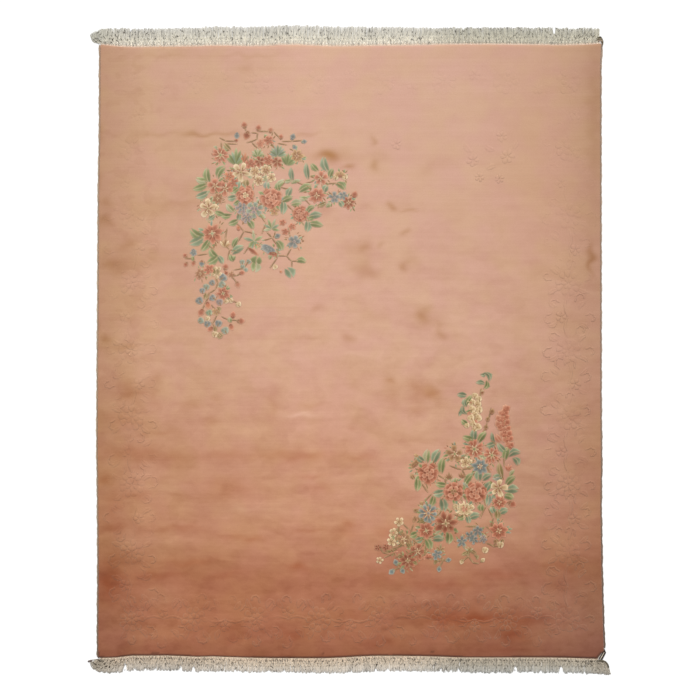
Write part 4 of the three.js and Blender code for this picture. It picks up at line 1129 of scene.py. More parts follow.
# The lower spray: a posy with two tall spikes of bells, and a tail of small flowers that
# reaches left over the browner pile. Places are measured as in the upper spray.
LOWER_SPRAY = {
    "stems": [
        [(9.5, 50), (9, 46), (7, 40), (6, 33), (5.5, 29)], [(14.3, 40.5), (12.3, 33), (10, 28)],
        [(21, 39.5), (20.3, 30), (22.5, 20)], [(14.5, 24.5), (17, 22.5)], [(13, -9), (15.5, -14)],
        [(15.5, -14), (14.5, -17)], [(-12, 7.5), (-8.5, 5.5), (-8.3, 2)], [(-2.2, 0.5), (0.3, -6)],
        [(-22, -13.5), (-20, -17.5)], [(-31.3, -17.5), (-32, -22), (-33, -28)],
        [(-32, -22), (-29.5, -21.5)], [(-32.2, -24), (-34.5, -26)],
        [(-41, -27.5), (-39, -31), (-37, -31.5)], [(-38, -29.5), (-36.5, -31.5)],
        [(-33, -31.5), (-38.5, -33.5)], [(-32, -36), (-31.5, -38.5), (-34, -40)],
        [(-31.5, -38.5), (-30, -39.5)], [(-18, -27.5), (-18, -32.5)], [(-11, -29.5), (-11, -31.5)],
        [(-10.5, -33.5), (-9.5, -35), (-11.5, -38.5)], [(-9.5, -35), (-7.5, -34.7)],
        [(3.5, -29.5), (3.2, -33), (5.5, -36), (8.1, -36.3)], [(3.2, -33), (0.5, -35)],
        [(12.2, -26.4), (15.5, -28), (18, -24)], [(15.5, -28), (18.5, -27.5)],
        [(-24.5, -24.5), (-21, -27)], [(5, -21.5), (1.5, -24.5)], [(20.5, 15.5), (20.8, 12)],
        [(-23, 10.5), (-20.5, 9.5)], [(-12, -22), (-18, -24), (-26, -27)], [(-18, -24), (-21, -29)],
        [(-7, 2), (-3, -5)], [(-6, 12), (0, 10), (5, 11)], [(0, 10), (2, 5)], [(12, 12), (14, 8)],
        [(-10, -10), (-14, -14)], [(10, -2), (12, -8), (9, -14)], [(-4, -12), (2, -14)],
        [(2, -18), (8, -18)], [(19, -1), (21, -8)], [(-15, -2), (-19, -6)],
        [(-24, -17), (-26, -24), (-24, -30)], [(-26, -24), (-30, -25)], [(12, -18), (16, -22)],
        [(-6, 17), (-2, 15), (3, 18)], [(-36, -24), (-34, -29)], [(-28, -33), (-25, -37)],
        [(-16, -30), (-21, -34)], [(-33, -33.5), (-29, -31)], [(-14, -36), (-9, -34)],
        [(-29, -17), (-26, -20)], [(-20, 3), (-17, -1)], [(3, 22), (6, 25)],
    ],
    "leaves": [
        (12.4, 56, 300, 46, 20, "teal", 0.25), (10.4, 57.4, 200, 26, 14, "teal", 0.2),
        (8.9, 52.6, 170, 40, 18, "teal", -0.2), (11.6, 52, 250, 40, 18, "green", 0.2),
        (-0.2, 46.7, 172, 44, 22, "teal", -0.1), (3.2, 44.6, 55, 52, 20, "green"),
        (1.5, 43.2, 100, 40, 18, "teal", 0.1), (1.6, 39.8, 110, 48, 18, "teal", 0.3),
        (3.4, 39, 200, 34, 16, "green", 0.1), (-0.4, 37.8, 230, 30, 14, "teal", -0.2),
        (1.1, 33.4, 140, 36, 20, "green"), (3.1, 25.5, 165, 58, 25, "green"),
        (5.8, 27.3, 85, 58, 28, "teal"), (9.8, 26.4, 50, 62, 26, "green"),
        (15.1, 25.8, 100, 52, 15, "teal"), (14.2, 22.3, 195, 46, 23, "teal"),
        (17.6, 25.6, 125, 46, 24, "rose"), (19.6, 20.6, 130, 66, 24, "teal"),
        (21.7, 18.2, 72, 62, 28, "green"), (26, 17.9, 15, 58, 28, "teal", 0.15),
        (26.8, 14.2, 300, 42, 26, "teal", 0.1), (18.8, 9.9, 100, 70, 25, "olive"),
        (3.1, 5.8, 52, 62, 25, "green"), (8.1, 7.4, 85, 52, 32, "teal"), (12.2, 6.6, 30, 50, 25, "teal"),
        (17.2, 6.3, 190, 42, 28, "grey"), (23.8, 4.9, 40, 58, 27, "green"),
        (-17.5, 16.9, 82, 62, 30, "pale"), (-13, 16.9, 60, 70, 33, "teal"),
        (-10.1, 12.3, 80, 76, 29, "green"), (-10.6, 2.6, 170, 50, 24, "green"),
        (-20.8, 15.2, 140, 40, 25, "teal"), (-22, 2.6, 265, 62, 27, "green"),
        (-24.6, 6.6, 120, 30, 16, "tan"), (-22.7, 17, 150, 26, 12, "ochre"),
        (12.7, 1.7, 60, 46, 28, "sea"), (13, -5, 262, 56, 26, "grey"), (25, 0.4, 0, 56, 36, "teal"),
        (23.3, -3.2, 342, 46, 27, "green"), (-11.7, -1.7, 190, 52, 31, "teal"),
        (-14.6, -5.7, 250, 52, 25, "green"), (-9.2, -7.5, 275, 64, 33, "teal"),
        (9.3, -8.7, 85, 34, 26, "green"), (15.1, -9.9, 110, 34, 22, "teal"),
        (20.5, -10.3, 20, 42, 27, "teal"), (17.6, -12.4, 270, 42, 25, "olive"),
        (-0.4, -13.8, 200, 40, 20, "green"), (3.1, -14.6, 280, 36, 22, "teal"),
        (6.2, -12.8, 15, 50, 27, "teal"), (-11.7, -24, 0, 54, 28, "teal"),
        (-6.4, -24, 262, 52, 30, "green"), (-16.4, -26.8, 290, 54, 30, "green"),
        (-24.1, -22.3, 200, 38, 27, "green"), (-21.4, -24.8, 195, 38, 26, "teal"),
        (-20, -24, 120, 20, 12, "green"), (-34.2, -23.6, 300, 24, 12, "green"),
        (2.9, -31.4, 250, 24, 12, "olive"), (-20, -6.6, 90, 22, 14, "ochre"),
        (-23.5, -14.6, 250, 30, 14, "tan"), (24.6, 8.6, 50, 36, 14, "pale"),
        (-31.8, -20, 110, 24, 10, "olive"), (6.9, -33.4, 300, 26, 12, "olive", 0.2),
        (1.4, 1.5, 290, 24, 12, "pale"), (1.6, -3.8, 300, 30, 10, "olive"),
        (-31, -27, 215, 34, 14, "moss", 0.1), (-26.5, -27.5, 300, 36, 15, "moss"),
        (-30, -21, 60, 30, 13, "olive"), (-33.5, -29, 190, 30, 12, "stem", 0.1),
        (-25, -31.5, 200, 34, 13, "moss"), (-30.5, -33, 170, 30, 12, "stem"),
        (-23.5, -36, 330, 30, 13, "moss"), (-18.6, -30.5, 320, 34, 14, "olive"),
        (-36, -30.5, 150, 24, 10, "moss"), (3.8, -30, 50, 30, 14, "moss"),
        (5.6, -30.8, 330, 34, 14, "stem"), (1.2, -31.5, 210, 30, 13, "olive"),
        (-13.2, -35.6, 250, 26, 11, "moss"), (-20, -15.5, 200, 34, 15, "moss"),
    ],
    "fans": [
        (-11, -29.8, 80, 36, 5, 200, ["olive", "tan"]),
        (3.5, -30.5, 90, 30, 6, 180, ["olive", "pale", "tan"]), (0.9, -11, 90, 62, 7, 180, ["cream"]),
        (0.9, -11.5, 270, 36, 5, 170, ["cream", "tan"]), (22.6, 9.4, 70, 40, 4, 90, ["rose", "coral"]),
        (-30.2, -27, 90, 36, 6, 230, ["tan", "cream", "rose"]),
        (-34, -31, 100, 30, 6, 300, ["tan", "rose", "olive"]),
        (-6.5, 5.2, 90, 36, 5, 100, ["tan", "brown"]), (-0.4, 5.8, 75, 36, 4, 90, ["tan", "brown"]),
    ],
    "flowers": [
        ("daisy", 6.1, 20.2, 45, "coral", "green"), ("daisy", 14.7, 17.1, 37, "coral", "green", 12),
        ("blossom", -3.6, 17.8, 41, "tan", "green", 18), ("floret", 1.6, 13.6, 26, "cream", "tan", 10),
        ("star", 8.8, 11.6, 40, "blue", "lilac", 10), ("peony", -16.7, 8.2, 50, "coral", "rose"),
        ("peony", -4.4, -0.9, 48, "coral", "tan", 15), ("peony", 6.6, -1.2, 54, "coral", "rose"),
        ("blossom", 18, 0.9, 43, "cream", "olive", 10), ("star", 18.4, -6.2, 36, "coral", "red", 8),
        ("swirl", 1.2, -9.4, 30, "cream", "rose"), ("daisy", -16.7, -11.6, 47, "blue", "lilac"),
        ("star", -8.1, -16.6, 56, "red", "olive", 5), ("star", -17.8, -20.2, 42, "coral", "pale", 20),
        ("star", 18.1, -20.3, 46, "coral", "brown", 14), ("floret", 7.8, -20.3, 28, "blue", "lilac", 20),
        ("floret", 4, -22.8, 24, "blue", "lilac"), ("floret", 5.8, -24.8, 20, "blue", "grey", 45),
        ("floret", -0.2, -25.6, 26, "blue", "grey", 20), ("floret", 10.4, -24.4, 20, "lilac", "blue"),
        ("floret", -12.5, -32, 26, "blue", "lilac", 30), ("blossom", -22, -30.4, 38, "red", "brown"),
        ("star", -27, -35, 39, "red", "olive", 12), ("floret", -31.2, -15.8, 22, "cream", "tan", 45),
        ("floret", -34, -21.2, 23, "cream", "rose"), ("blossom", -28.8, -24.2, 34, "tan", "cream", 30),
        ("floret", -35, -25.6, 22, "cream", "tan", 10), ("floret", -41.6, -28.4, 17, "red", "coral"),
        ("floret", -37.7, -28.4, 17, "red", "coral", 40), ("floret", -40.8, -34.8, 16, "cream", "coral"),
        ("floret", 4.4, 43.2, 18, "cream", "coral"), ("fan", -16.8, -34.2, 24, "coral", "red", 90),
        ("fan", -22.6, 11.6, 30, "tan", "tan", 130),
    ],
    "buds": [
        (9.9, 48.3, 280, 26, "brown", "cream"), (14.8, 38.8, 70, 32, "tan"), (12.7, 35, 80, 28, "tan"),
        (11.8, 31, 80, 28, "tan"), (24.9, -7, 330, 46, "coral"), (14.6, -17.4, 260, 24, "tan"),
        (-23, -10.2, 150, 28, "tan", "olive"), (-6.8, -34.7, 10, 30, "blue", "grey"),
        (-11.4, -39.2, 265, 30, "blue", "grey"), (-32.8, -35.9, 110, 34, "blue", "grey"),
        (-34.8, -40.5, 220, 36, "blue", "grey"), (-29.5, -40, 300, 32, "blue", "grey"),
        (-0.2, -35.6, 250, 26, "cream", "olive"), (10.2, -34.8, 40, 26, "cream", "olive"),
    ],
    "dots": [
        (6.4, 46.6, 14), (8.3, 45, 14), (7.8, 42.6, 16), (5, 40, 17), (8.4, 39.6, 17), (4.4, 35.6, 17),
        (8, 35.6, 17), (2.3, 31.9, 13), (5.5, 32.8, 16), (8, 31.2, 16), (6.4, 37.6, 13), (6.2, 30, 13),
        (5.4, 43.4, 12), (3.6, 38, 11, "rose"), (6.8, 34, 10, "rose"), (11.4, -29.8, 15),
        (18.9, -27.2, 16), (16.6, -25.4, 10, "tan"), (3.8, 14, 12), (-29.8, -26.2, 10), (4.6, -8.6, 14),
        (-3.2, -8.4, 14),
    ],
    "blades": [],
}
lower = spray(LOWER_SPRAY, 5)
# The coral spike: ragged rows of bells. How far down it, its middle and its half width in cm.
SPIKE_ROWS = 8
SPIKE = [(0, 21.4, 0.3), (0.3, 19.9, 2.2), (0.6, 20.9, 2.3), (1, 23.4, 1.0)]
for row in range(SPIKE_ROWS):
    down = row / (SPIKE_ROWS - 1)
    middle, half = (np.interp(down, [stop[0] for stop in SPIKE], [stop[i] for stop in SPIKE])
                    for i in (1, 2))
    for side in (-1, 1, 0):
        bud(lower, middle + side * half + shades.uniform(-0.4, 0.4),
            40.6 - 18 * down + shades.uniform(-0.5, 0.5), 85 - side * 42 + shades.uniform(-15, 15),
            shades.uniform(32, 46), "coral" if side == 1 else "rose", "coral")
# Its grooves are painted in deeper shade than the upper spray's.
lower_spray = carve("lower_spray", lower, (55.5, -69), 2.4, tint=(0.92, 0.88, 0.83))


# The side cords: wool overcast round the outermost warps, so each is a row of tight turns.
# The turns are 3 mm apart and are drawn at 6 mm, so that they show.
CORD_SIZE = {"width": 8, "height": 7}
CORD_SIDES = 8
CORD_SEAT = 0.3
YARN_ROUGHNESS = 0.9
YARN_SHEEN = 0.1
TURN_PITCH = 6
TURN_DEPTH = 0.14
# The cords swell and sink along their length, where the wool has slackened: the length of each
# swell and how far it stands out, in mm, and how much lighter a swell is painted and a sink
# darker, as light and shade.
CORD_SWELLS = [(145, 0.8), (61, 0.9), (27, 0.6)]
SWELL_LIGHT = 0.08
# The left cord turns in round the bottom corner. The right one runs on past the pile at the
# top, where it frays to a tuft, and stops at the cut corner at the bottom: place and width.
LEFT_TURN = [(-1244, -1525, 5), (-1249.5, -1517, 7)]
RIGHT_TUFT = [(1251, 1520, 10), (1250, 1532, 13), (1245, 1545, 14), (1238, 1556, 7)]
TUFT_STRANDS = [
    [(1230, 1549), (1238, 1553), (1246, 1551), 7, "#5A5342"],
    [(1224, 1541), (1237, 1545), (1250, 1542), 8, "#857B66"],
    [(1229, 1533), (1241, 1537), (1252, 1532), 8, "#A08D78"],
]
CORD_ENDS = {"left": (-1505, 1514), "right": (-1474, 1515)}
# At the bottom right its strands have come loose. Each strand, like those of the tuft, has
# three places, a width and a colour, and lies with its middle at this share of its width.
STRAND_SEAT = 0.6
STRAND_PLACES = 9
# The dark strands are painted shade, in the gaps between the pale ones.
LOOSE_STRANDS = [
    [(1248, -1478), (1246, -1491), (1225, -1520), 6, "#4A372A"],
    [(1252, -1474), (1251, -1490), (1229, -1525), 5, "#CFC3AE"],
    [(1255, -1474), (1257, -1492), (1235, -1528), 6, "#3F3026"],
    [(1257, -1476), (1261, -1494), (1240, -1530), 5, "#D8CDB9"],
    [(1258, -1480), (1265, -1497), (1247, -1531), 8, "#33271F"],
]
# Colour of each cord: how far up the rug in cm, and its colour.
LEFT_CORD_RAMP = [
    (-152, "#7E6A56"), (-100, "#9C8670"), (-40, "#B29C82"), (60, "#B8A28A"), (152, "#AE967E"),
]
RIGHT_CORD_RAMP = [
    (-152, "#655243"), (-80, "#887260"), (-20, "#9E8876"), (60, "#AA9480"), (148, "#AE9884"),
    (153, "#4E4636"),
]


def colour_along(rows, place):
    """A table's colours at places in cm, as linear red, green, blue and alpha."""
    colours = np.array([dye(code) for at, code in rows])
    return np.column_stack([np.interp(place, [at for at, code in rows], colours[:, i])
                            for i in range(4)])


def tubes(name, strands, sides):
    """Closed tubes joined in one mesh. Each strand has its points in mm, with the height of
    their middle, a width and a height for each point, and a colour for each point."""
    places, faces, colours = [], [], []
    first = 0
    turns = np.arange(sides) / sides * 2 * math.pi + math.pi / sides
    for strand in strands:
        points = np.asarray(strand["points"], float)
        count = len(points)
        run = np.gradient(points[:, :2], axis=0)
        run /= np.maximum(np.linalg.norm(run, axis=1, keepdims=True), 1e-9)
        across = np.column_stack((run[:, 1], -run[:, 0]))
        wide = np.broadcast_to(strand["width"], count) / 2
        high = np.broadcast_to(strand["height"], count) / 2
        side_step = across[:, None, :] * (np.cos(turns)[None, :, None] * wide[:, None, None])
        rings = np.empty((count, sides, 3))
        rings[:, :, :2] = points[:, None, :2] + side_step
        rings[:, :, 2] = points[:, 2, None] + np.sin(turns)[None, :] * high[:, None]
        places.append(rings.reshape(-1, 3) * MM)
        colour = np.broadcast_to(strand["colour"], (count, 4))
        colours.append(np.repeat(colour, sides, axis=0))
        for i in range(count - 1):
            a = first + i * sides
            for j in range(sides):
                k = (j + 1) % sides
                faces.append((a + j, a + k, a + sides + k, a + sides + j))
        last = first + (count - 1) * sides
        faces.append(tuple(range(first + sides - 1, first - 1, -1)))
        faces.append(tuple(range(last, last + sides)))
        first += count * sides
    piece = add_piece(name, places, faces, colours)
    select_only(piece)
    bpy.ops.object.mode_set(mode="EDIT")
    turn_outwards()
    return piece


def yarn_material(name, grain, uneven):
    """Matt yarn in its own dye, which is lighter and darker in patches of a grain in mm."""
    made, tree = new_material(name)
    spot = add_node(tree, "ShaderNodeTexCoord").outputs["Object"]
    noise = add_node(tree, "ShaderNodeTexNoise", inputs={
        "Vector": spot, "Scale": 1 / (grain * MM), "Detail": 2.0})
    level = add_node(tree, "ShaderNodeMapRange", inputs={
        "Value": noise.outputs[0], "To Min": 1 - uneven, "To Max": 1 + uneven}).outputs[0]
    dyed = add_node(tree, "ShaderNodeAttribute", attribute_name="dye").outputs["Color"]
    colour = add_node(tree, "ShaderNodeVectorMath", operation="SCALE", inputs={
        0: dyed, "Scale": level}).outputs[0]
    cloth = add_node(tree, "ShaderNodeBsdfPrincipled", inputs={
        "Base Color": colour, "Roughness": YARN_ROUGHNESS, "Specular IOR Level": WOOL_SPECULAR,
        "Sheen Weight": YARN_SHEEN, "Sheen Roughness": SHEEN_ROUGHNESS})
    add_node(tree, "ShaderNodeOutputMaterial", inputs={"Surface": cloth.outputs[0]})
    return made


# Wool wrapped tight: matt, and lighter and darker in patches, more than cotton: painted shade
# between its turns.
overcast_wool = yarn_material("overcast_wool_cord", grain=5, uneven=0.25)


def cord_path(side):
    """The middle line of a cord along the pile's edge, with the turns of its wrapping."""
    sign = -1 if side == "left" else 1
    low, high = CORD_ENDS[side]
    along = np.arange(low, high + 1, TURN_PITCH / 3)
    edge = edge_at(pile_edges, side, along * MM) / MM
    x = edge + sign * (CORD_SEAT + CORD_SIZE["width"] / 2)
    swell = sum(out * np.sin(along * 2 * math.pi / length + sign) for length, out in CORD_SWELLS)
    return np.column_stack((x + sign * swell / 2, along, CORD_SIZE["width"] + swell))


def cord(side, ramp, before=(), after=()):
    """A side's cord as a strand, with the places and widths of its turned or frayed ends."""
    rows = np.vstack([part for part in (np.array(before), cord_path(side), np.array(after))
                      if len(part)])
    turns = 1 - TURN_DEPTH * (np.arange(len(rows)) % 3 == 0)
    width = rows[:, 2] * turns
    height = CORD_SIZE["height"] * np.minimum(rows[:, 2] / CORD_SIZE["width"], 1) * turns
    points = np.column_stack((rows[:, 0], rows[:, 1], height / 2))
    # Painted light on the swells and painted shade in the sinks.
    light = 1 + SWELL_LIGHT * np.clip(rows[:, 2] - CORD_SIZE["width"], -2, 2)
    return {"points": points, "width": width, "height": height,
            "colour": colour_along(ramp, rows[:, 1] / 10) * light[:, None]}


def finish_edge(piece, node, material):
    piece.data.materials.append(material)
    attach(piece, "root")
    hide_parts(node)


left_cord = tubes("left_overcast_cord", [cord("left", LEFT_CORD_RAMP, LEFT_TURN)], CORD_SIDES)
finish_edge(left_cord, "left_side_cord", overcast_wool)

right_strands = [cord("right", RIGHT_CORD_RAMP, (), RIGHT_TUFT)]
for *ends, width, code in LOOSE_STRANDS + TUFT_STRANDS:
    ends = np.array(ends)
    spots = np.linspace(0, 2, STRAND_PLACES)
    line = [np.interp(spots, [0, 1, 2], ends[:, i]) for i in (0, 1)]
    right_strands.append({
        "points": np.column_stack((*line, np.full(STRAND_PLACES, width * STRAND_SEAT))),
        "width": width, "height": width, "colour": dye(code)})
right_cord = tubes("right_overcast_cord", right_strands, CORD_SIDES)
finish_edge(right_cord, "right_side_cord", overcast_wool)


# The end webs: a finger's breadth of plain weave past the last row of knots, which keeps them
# from sliding off the warps. Its cotton wefts lie packed, as ribs along the edge.
WEB_WIDTH = 9
WEB_HEIGHT = 3.5
WEB_SEAT = 0.3
WEB_STEP = 20
RIB_OVERLAP = 1.15
RIB_SIDES = 6
# Each web's ribs run from the pile outwards. The bottom web's first rib is painted dark, as the pile's
# shadow that falls on it.
WEBS = [
    {"name": "top_woven_web", "node": "top_end_web", "edge": "top", "sign": 1,
     "from": -1236, "to": 1242, "ribs": ["#EED8C4", "#FBEBDA", "#FBEBDA"]},
    {"name": "bottom_woven_web", "node": "bottom_end_web", "edge": "bottom", "sign": -1,
     "from": -1239, "to": 1230, "ribs": ["#AE8A6E", "#FFE9D0", "#FFF0DA"]},
]
# Undyed cotton: matt, and nearly even in tone.
cotton = yarn_material("undyed_cotton_yarn", grain=4, uneven=0.12)
for web in WEBS:
    along = np.linspace(web["from"], web["to"], round((web["to"] - web["from"]) / WEB_STEP))
    edge = edge_at(pile_edges, web["edge"], along * MM) / MM
    ribs = []
    rib_width = WEB_WIDTH / len(web["ribs"])
    for i, colour in enumerate(web["ribs"]):
        out = WEB_SEAT + rib_width * (i + 0.5)
        ribs.append({
            "points": np.column_stack((along, edge + web["sign"] * out,
                                       np.full_like(along, WEB_HEIGHT / 2))),
            "width": rib_width * RIB_OVERLAP, "height": WEB_HEIGHT, "colour": dye(colour)})
    piece = tubes(web["name"], ribs, RIB_SIDES)
    finish_edge(piece, web["node"], cotton)


# The fringes: the warps' own ends, gathered in tassels and tied in three rows of knots, each
# row halfway between the last one's knots, and then left free. They lie as they fell, fanned
# out at three corners. One warp in three is drawn, thicker than it is, so that they show.
ROW_DOWNS = (11, 25, 39)
NET_LENGTH = 78
FRINGE_SEAT = 0.6
# A tassel's yarns, in mm: broad ones underneath that show between the others, the legs of the
# net, its knots, and the free ends below it. "up" is how high over the floor their middle
# lies, "sway" how far they wander from a straight fall, and "at_web" and "at_knot" where they
# spread on either side of the tassel's middle.
UNDER = {"width": 4.0, "tip": 2.4, "height": 1.6, "up": (0.8, 1.3), "sway": 0.8, "count": 7,
         "from": -0.3, "stray": (-3, 1), "tone": (0.74, 1.1)}
LEG = {"width": 2.4, "height": 2.0, "up": (1.6, 2.4), "bow": 1.1, "crown": 0.4,
       "web": -4, "web_up": 3.0, "at_web": (-0.45, -0.2, 0.2, 0.45), "at_knot": 3}
KNOT = {"width": 6.2, "height": 4.4, "long": 6, "neck": (2.5, 2.4), "stray": 1, "light": 1.06}
FREE = {"width": 2.2, "tip": 1.2, "height": 1.8, "up": (1.9, 2.8), "sway": 3.2, "count": 7,
        "spread": 1.15, "at_knot": 2, "short": 4}
FALL_PLACES = 5
STRAIGHTENS = 0.3
YARN_SIDES = 4
# Where tassels are fanned out, they have more yarns, which stray less.
FAN = {"count": 20, "calm": 0.3}
YARN_TONE = (0.72, 1.26)
# Now and then an under yarn is painted dark, as shade between the yarns over it.
SHADY_YARN = {"chance": 0.05, "tone": 0.5}
DARK_YARN = {"end_chance": 0.08, "tone": 0.42}
TASSEL = {"stray": 0.8, "short": 7, "notch": (3, 10)}
TOP_LENGTHS = [(-1245, 84), (-1150, 88), (-1000, 90), (-500, 94), (-100, 96), (200, 90),
               (500, 82), (1000, 84), (1235, 78)]
BOTTOM_LENGTHS = [(-1247, 76), (-950, 74), (-300, 71), (0, 77), (500, 75), (1247, 75)]
# How far the yarns lean as they fall, in mm over their length, and how much each strays.
TOP_LEANS = [(-1245, 5), (-1000, 2), (-700, -3), (-350, 4), (0, 7), (400, 3), (800, -3), (1235, 2)]
BOTTOM_LEANS = [(-1247, -6), (-1000, -5), (-800, -9), (-500, -4), (-200, 5), (200, -3),
                (700, -7), (1000, 2), (1247, 3)]
STRAY = 4.0
# Yarns that lie loose past the bottom fringe's corners: places in mm, width and colour.
LOOSE_YARNS = [
    ([(1226, -1537), (1250, -1538), (1267, -1543), (1277, -1556), (1282, -1571)], 10, "#5C5444"),
    ([(-1278, -1537), (-1290, -1539), (-1299, -1542)], 9, "#5E4A46"),
]
LOOSE_UP = 3.4
LOOSE_HEIGHT = 4
# Both fringes. Gaps are where tassels part: place, depth and half width in mm. A corner's
# fan is how far it reaches, how it bends, shortens and sags, and how much of the fringe it
# takes. Colours run down the yarns, and are soiled in the corners and at the right side.
FRINGES = [
    {"name": "top_knotted_fringe", "node": "top_fringe", "edge": "top", "sign": 1,
     "from": -1245, "to": 1235, "tassels": 146, "lengths": TOP_LENGTHS, "leans": TOP_LEANS,
     "gaps": [(1012, 34, 8), (-1090, 16, 7), (-590, 12, 7), (-250, 11, 7), (560, 11, 7)],
     "left": {"reach": 49, "bend": 0.45, "shorten": 0.36, "ease": 1, "sag": 13, "stretch": 62},
     "right": {"reach": 0, "bend": 1, "stretch": 1},
     "root": "#FFF6E6", "net": "#EDE6D4", "tip": "#D9D5CB", "corner": "#C2BFB0",
     "soiled": "#D6D0BC", "dark": 0.1, "specks": 300, "speck_zone": (20, 56, 1.0),
     "speck_row": 0.04, "corner_specks": (18, 16), "loose": [],
     "washed": [(-1245, 0.99), (-700, 1.0), (-400, 1.04), (300, 1.04), (700, 1.02), (1235, 1.02)]},
    {"name": "bottom_knotted_fringe", "node": "bottom_fringe", "edge": "bottom", "sign": -1,
     "from": -1247, "to": 1247, "tassels": 147, "lengths": BOTTOM_LENGTHS, "leans": BOTTOM_LEANS,
     "gaps": [(-1111, 46, 11), (-831, 30, 10), (-767, 30, 10), (822, 32, 13), (1045, 36, 12),
              (-400, 12, 15), (-330, 14, 13), (-1010, 14, 7), (-960, 14, 7), (-1061, 13, 7),
              (-564, 13, 7), (130, 12, 8), (190, 14, 8), (455, 20, 6), (480, 17, 6),
              (507, 19, 6), (543, 24, 7), (944, 15, 7), (1161, 15, 7)],
     "left": {"reach": 53, "bend": 0.8, "shorten": 0.9, "ease": 4, "sag": 0, "stretch": 75},
     "right": {"reach": 45, "bend": 0.25, "stretch": 60},
     "root": "#EAD6BE", "net": "#D5C4AE", "tip": "#E2DCD3", "corner": "#B0A593",
     "soiled": "#C4B9A6", "dark": 0.2, "specks": 340, "speck_zone": (4, 56, 1.6),
     "speck_row": 0.75, "corner_specks": (34, 16), "loose": LOOSE_YARNS,
     "washed": [(-1247, 0.94), (-850, 0.95), (-550, 1.06), (250, 1.06), (500, 0.94), (1247, 0.93)]},
]
# How far down a yarn its three colours lie, as shares of the net's length, where the soiling
# of the right side starts and how far on it is full, and how far the corners are soiled.
COLOUR_PLACES = (0.02, 0.3, 1)
SOILED_FROM = 300
SOILED_OVER = 250
CORNER_REACH = 90
CORNER_SOIL = 0.8
# Specks of painted shade, where gaps between the yarns show dark, all over a fringe, in its
# corners and along its roots, in mm.
SHADE_SPECK = {"colour": "#382C20", "widths": (1.0, 3.0, 1.0), "height": 1.0, "up": 4.4,
         "long": (4, 12), "slant": (-8, 8)}
CORNER_SHADE_SPECK = {"inward": (3, 120), "down": (6, 46), "long": (5, 11), "slant": (2, 9)}
ROOT_SHADE_SPECK = {"down": (6.5, 9.5), "long": 6, "slant": (-4, 4)}
falls = random.Random(11)


def eased(rows, along):
    """Value of a table between its rows, eased so that the tips have no kinks."""
    along = min(max(along, rows[0][0]), rows[-1][0])
    for (low, low_value), (high, high_value) in zip(rows, rows[1:]):
        if along <= high:
            share = (along - low) / (high - low)
            share = share * share * (3 - 2 * share)
            return low_value + (high_value - low_value) * share
    return rows[-1][1]


def fringe_place(fringe, along, down):
    """Where a place of the flat fringe lies, in mm, once its corners have fanned out."""
    length = eased(fringe["lengths"], along)
    share = max(down, 0) / length
    left, right = fringe["left"], fringe["right"]
    near_left = min(max(0, 1 - (along - fringe["from"]) / left["stretch"]), 1) ** 2
    near_right = min(max(0, 1 - (fringe["to"] - along) / right["stretch"]), 1) ** 2
    x = along - left["reach"] * near_left * share ** left["bend"] \
        + right["reach"] * near_right * share ** right["bend"]
    down *= 1 - left["shorten"] * near_left ** left["ease"]
    down -= left["sag"] * near_left * 4 * share * (1 - min(share, 1))
    edge = float(edge_at(pile_edges, fringe["edge"], along * MM)) / MM
    return x, edge + fringe["sign"] * (WEB_WIDTH + FRINGE_SEAT + down)


def fringe_yarn(fringe, strands, line, width, height, tone):
    """A yarn along places of the flat fringe: along, down and height of its middle."""
    points = [(*fringe_place(fringe, along, down), up) for along, down, up in line]
    share = np.array([max(down, 0) for along, down, up in line]) / NET_LENGTH
    codes = [dye(fringe[key]) for key in ("root", "net", "tip")]
    colours = np.column_stack([np.interp(share, COLOUR_PLACES, [code[i] for code in codes])
                               for i in range(3)])
    root = line[0][0]
    soiled = np.array(dye(fringe["soiled"])[:3]) / np.array(codes[1][:3])
    colours *= 1 + (soiled - 1) * min(max((root - SOILED_FROM) / SOILED_OVER, 0), 1)
    colours *= eased(fringe["washed"], root)
    near = max(0, 1 - (root - fringe["from"]) / CORNER_REACH)
    if fringe["right"]["reach"]:
        near += max(0, 1 - (fringe["to"] - root) / CORNER_REACH)
    colours += (np.array(dye(fringe["corner"])[:3]) - colours) * min(near, 1) * CORNER_SOIL
    strands.append({"points": points, "width": width, "height": height,
                    "colour": np.column_stack((colours * tone, np.ones(len(line))))})


def falling(start, end, up, sway):
    """Places down a yarn that wanders as it falls."""
    stray = 0
    line = []
    for i in range(FALL_PLACES):
        share = i / (FALL_PLACES - 1)
        line.append((start[0] + (end[0] - start[0]) * share + stray,
                     start[1] + (end[1] - start[1]) * share, up))
        stray += falls.uniform(-sway, sway) - STRAIGHTENS * stray
    return line


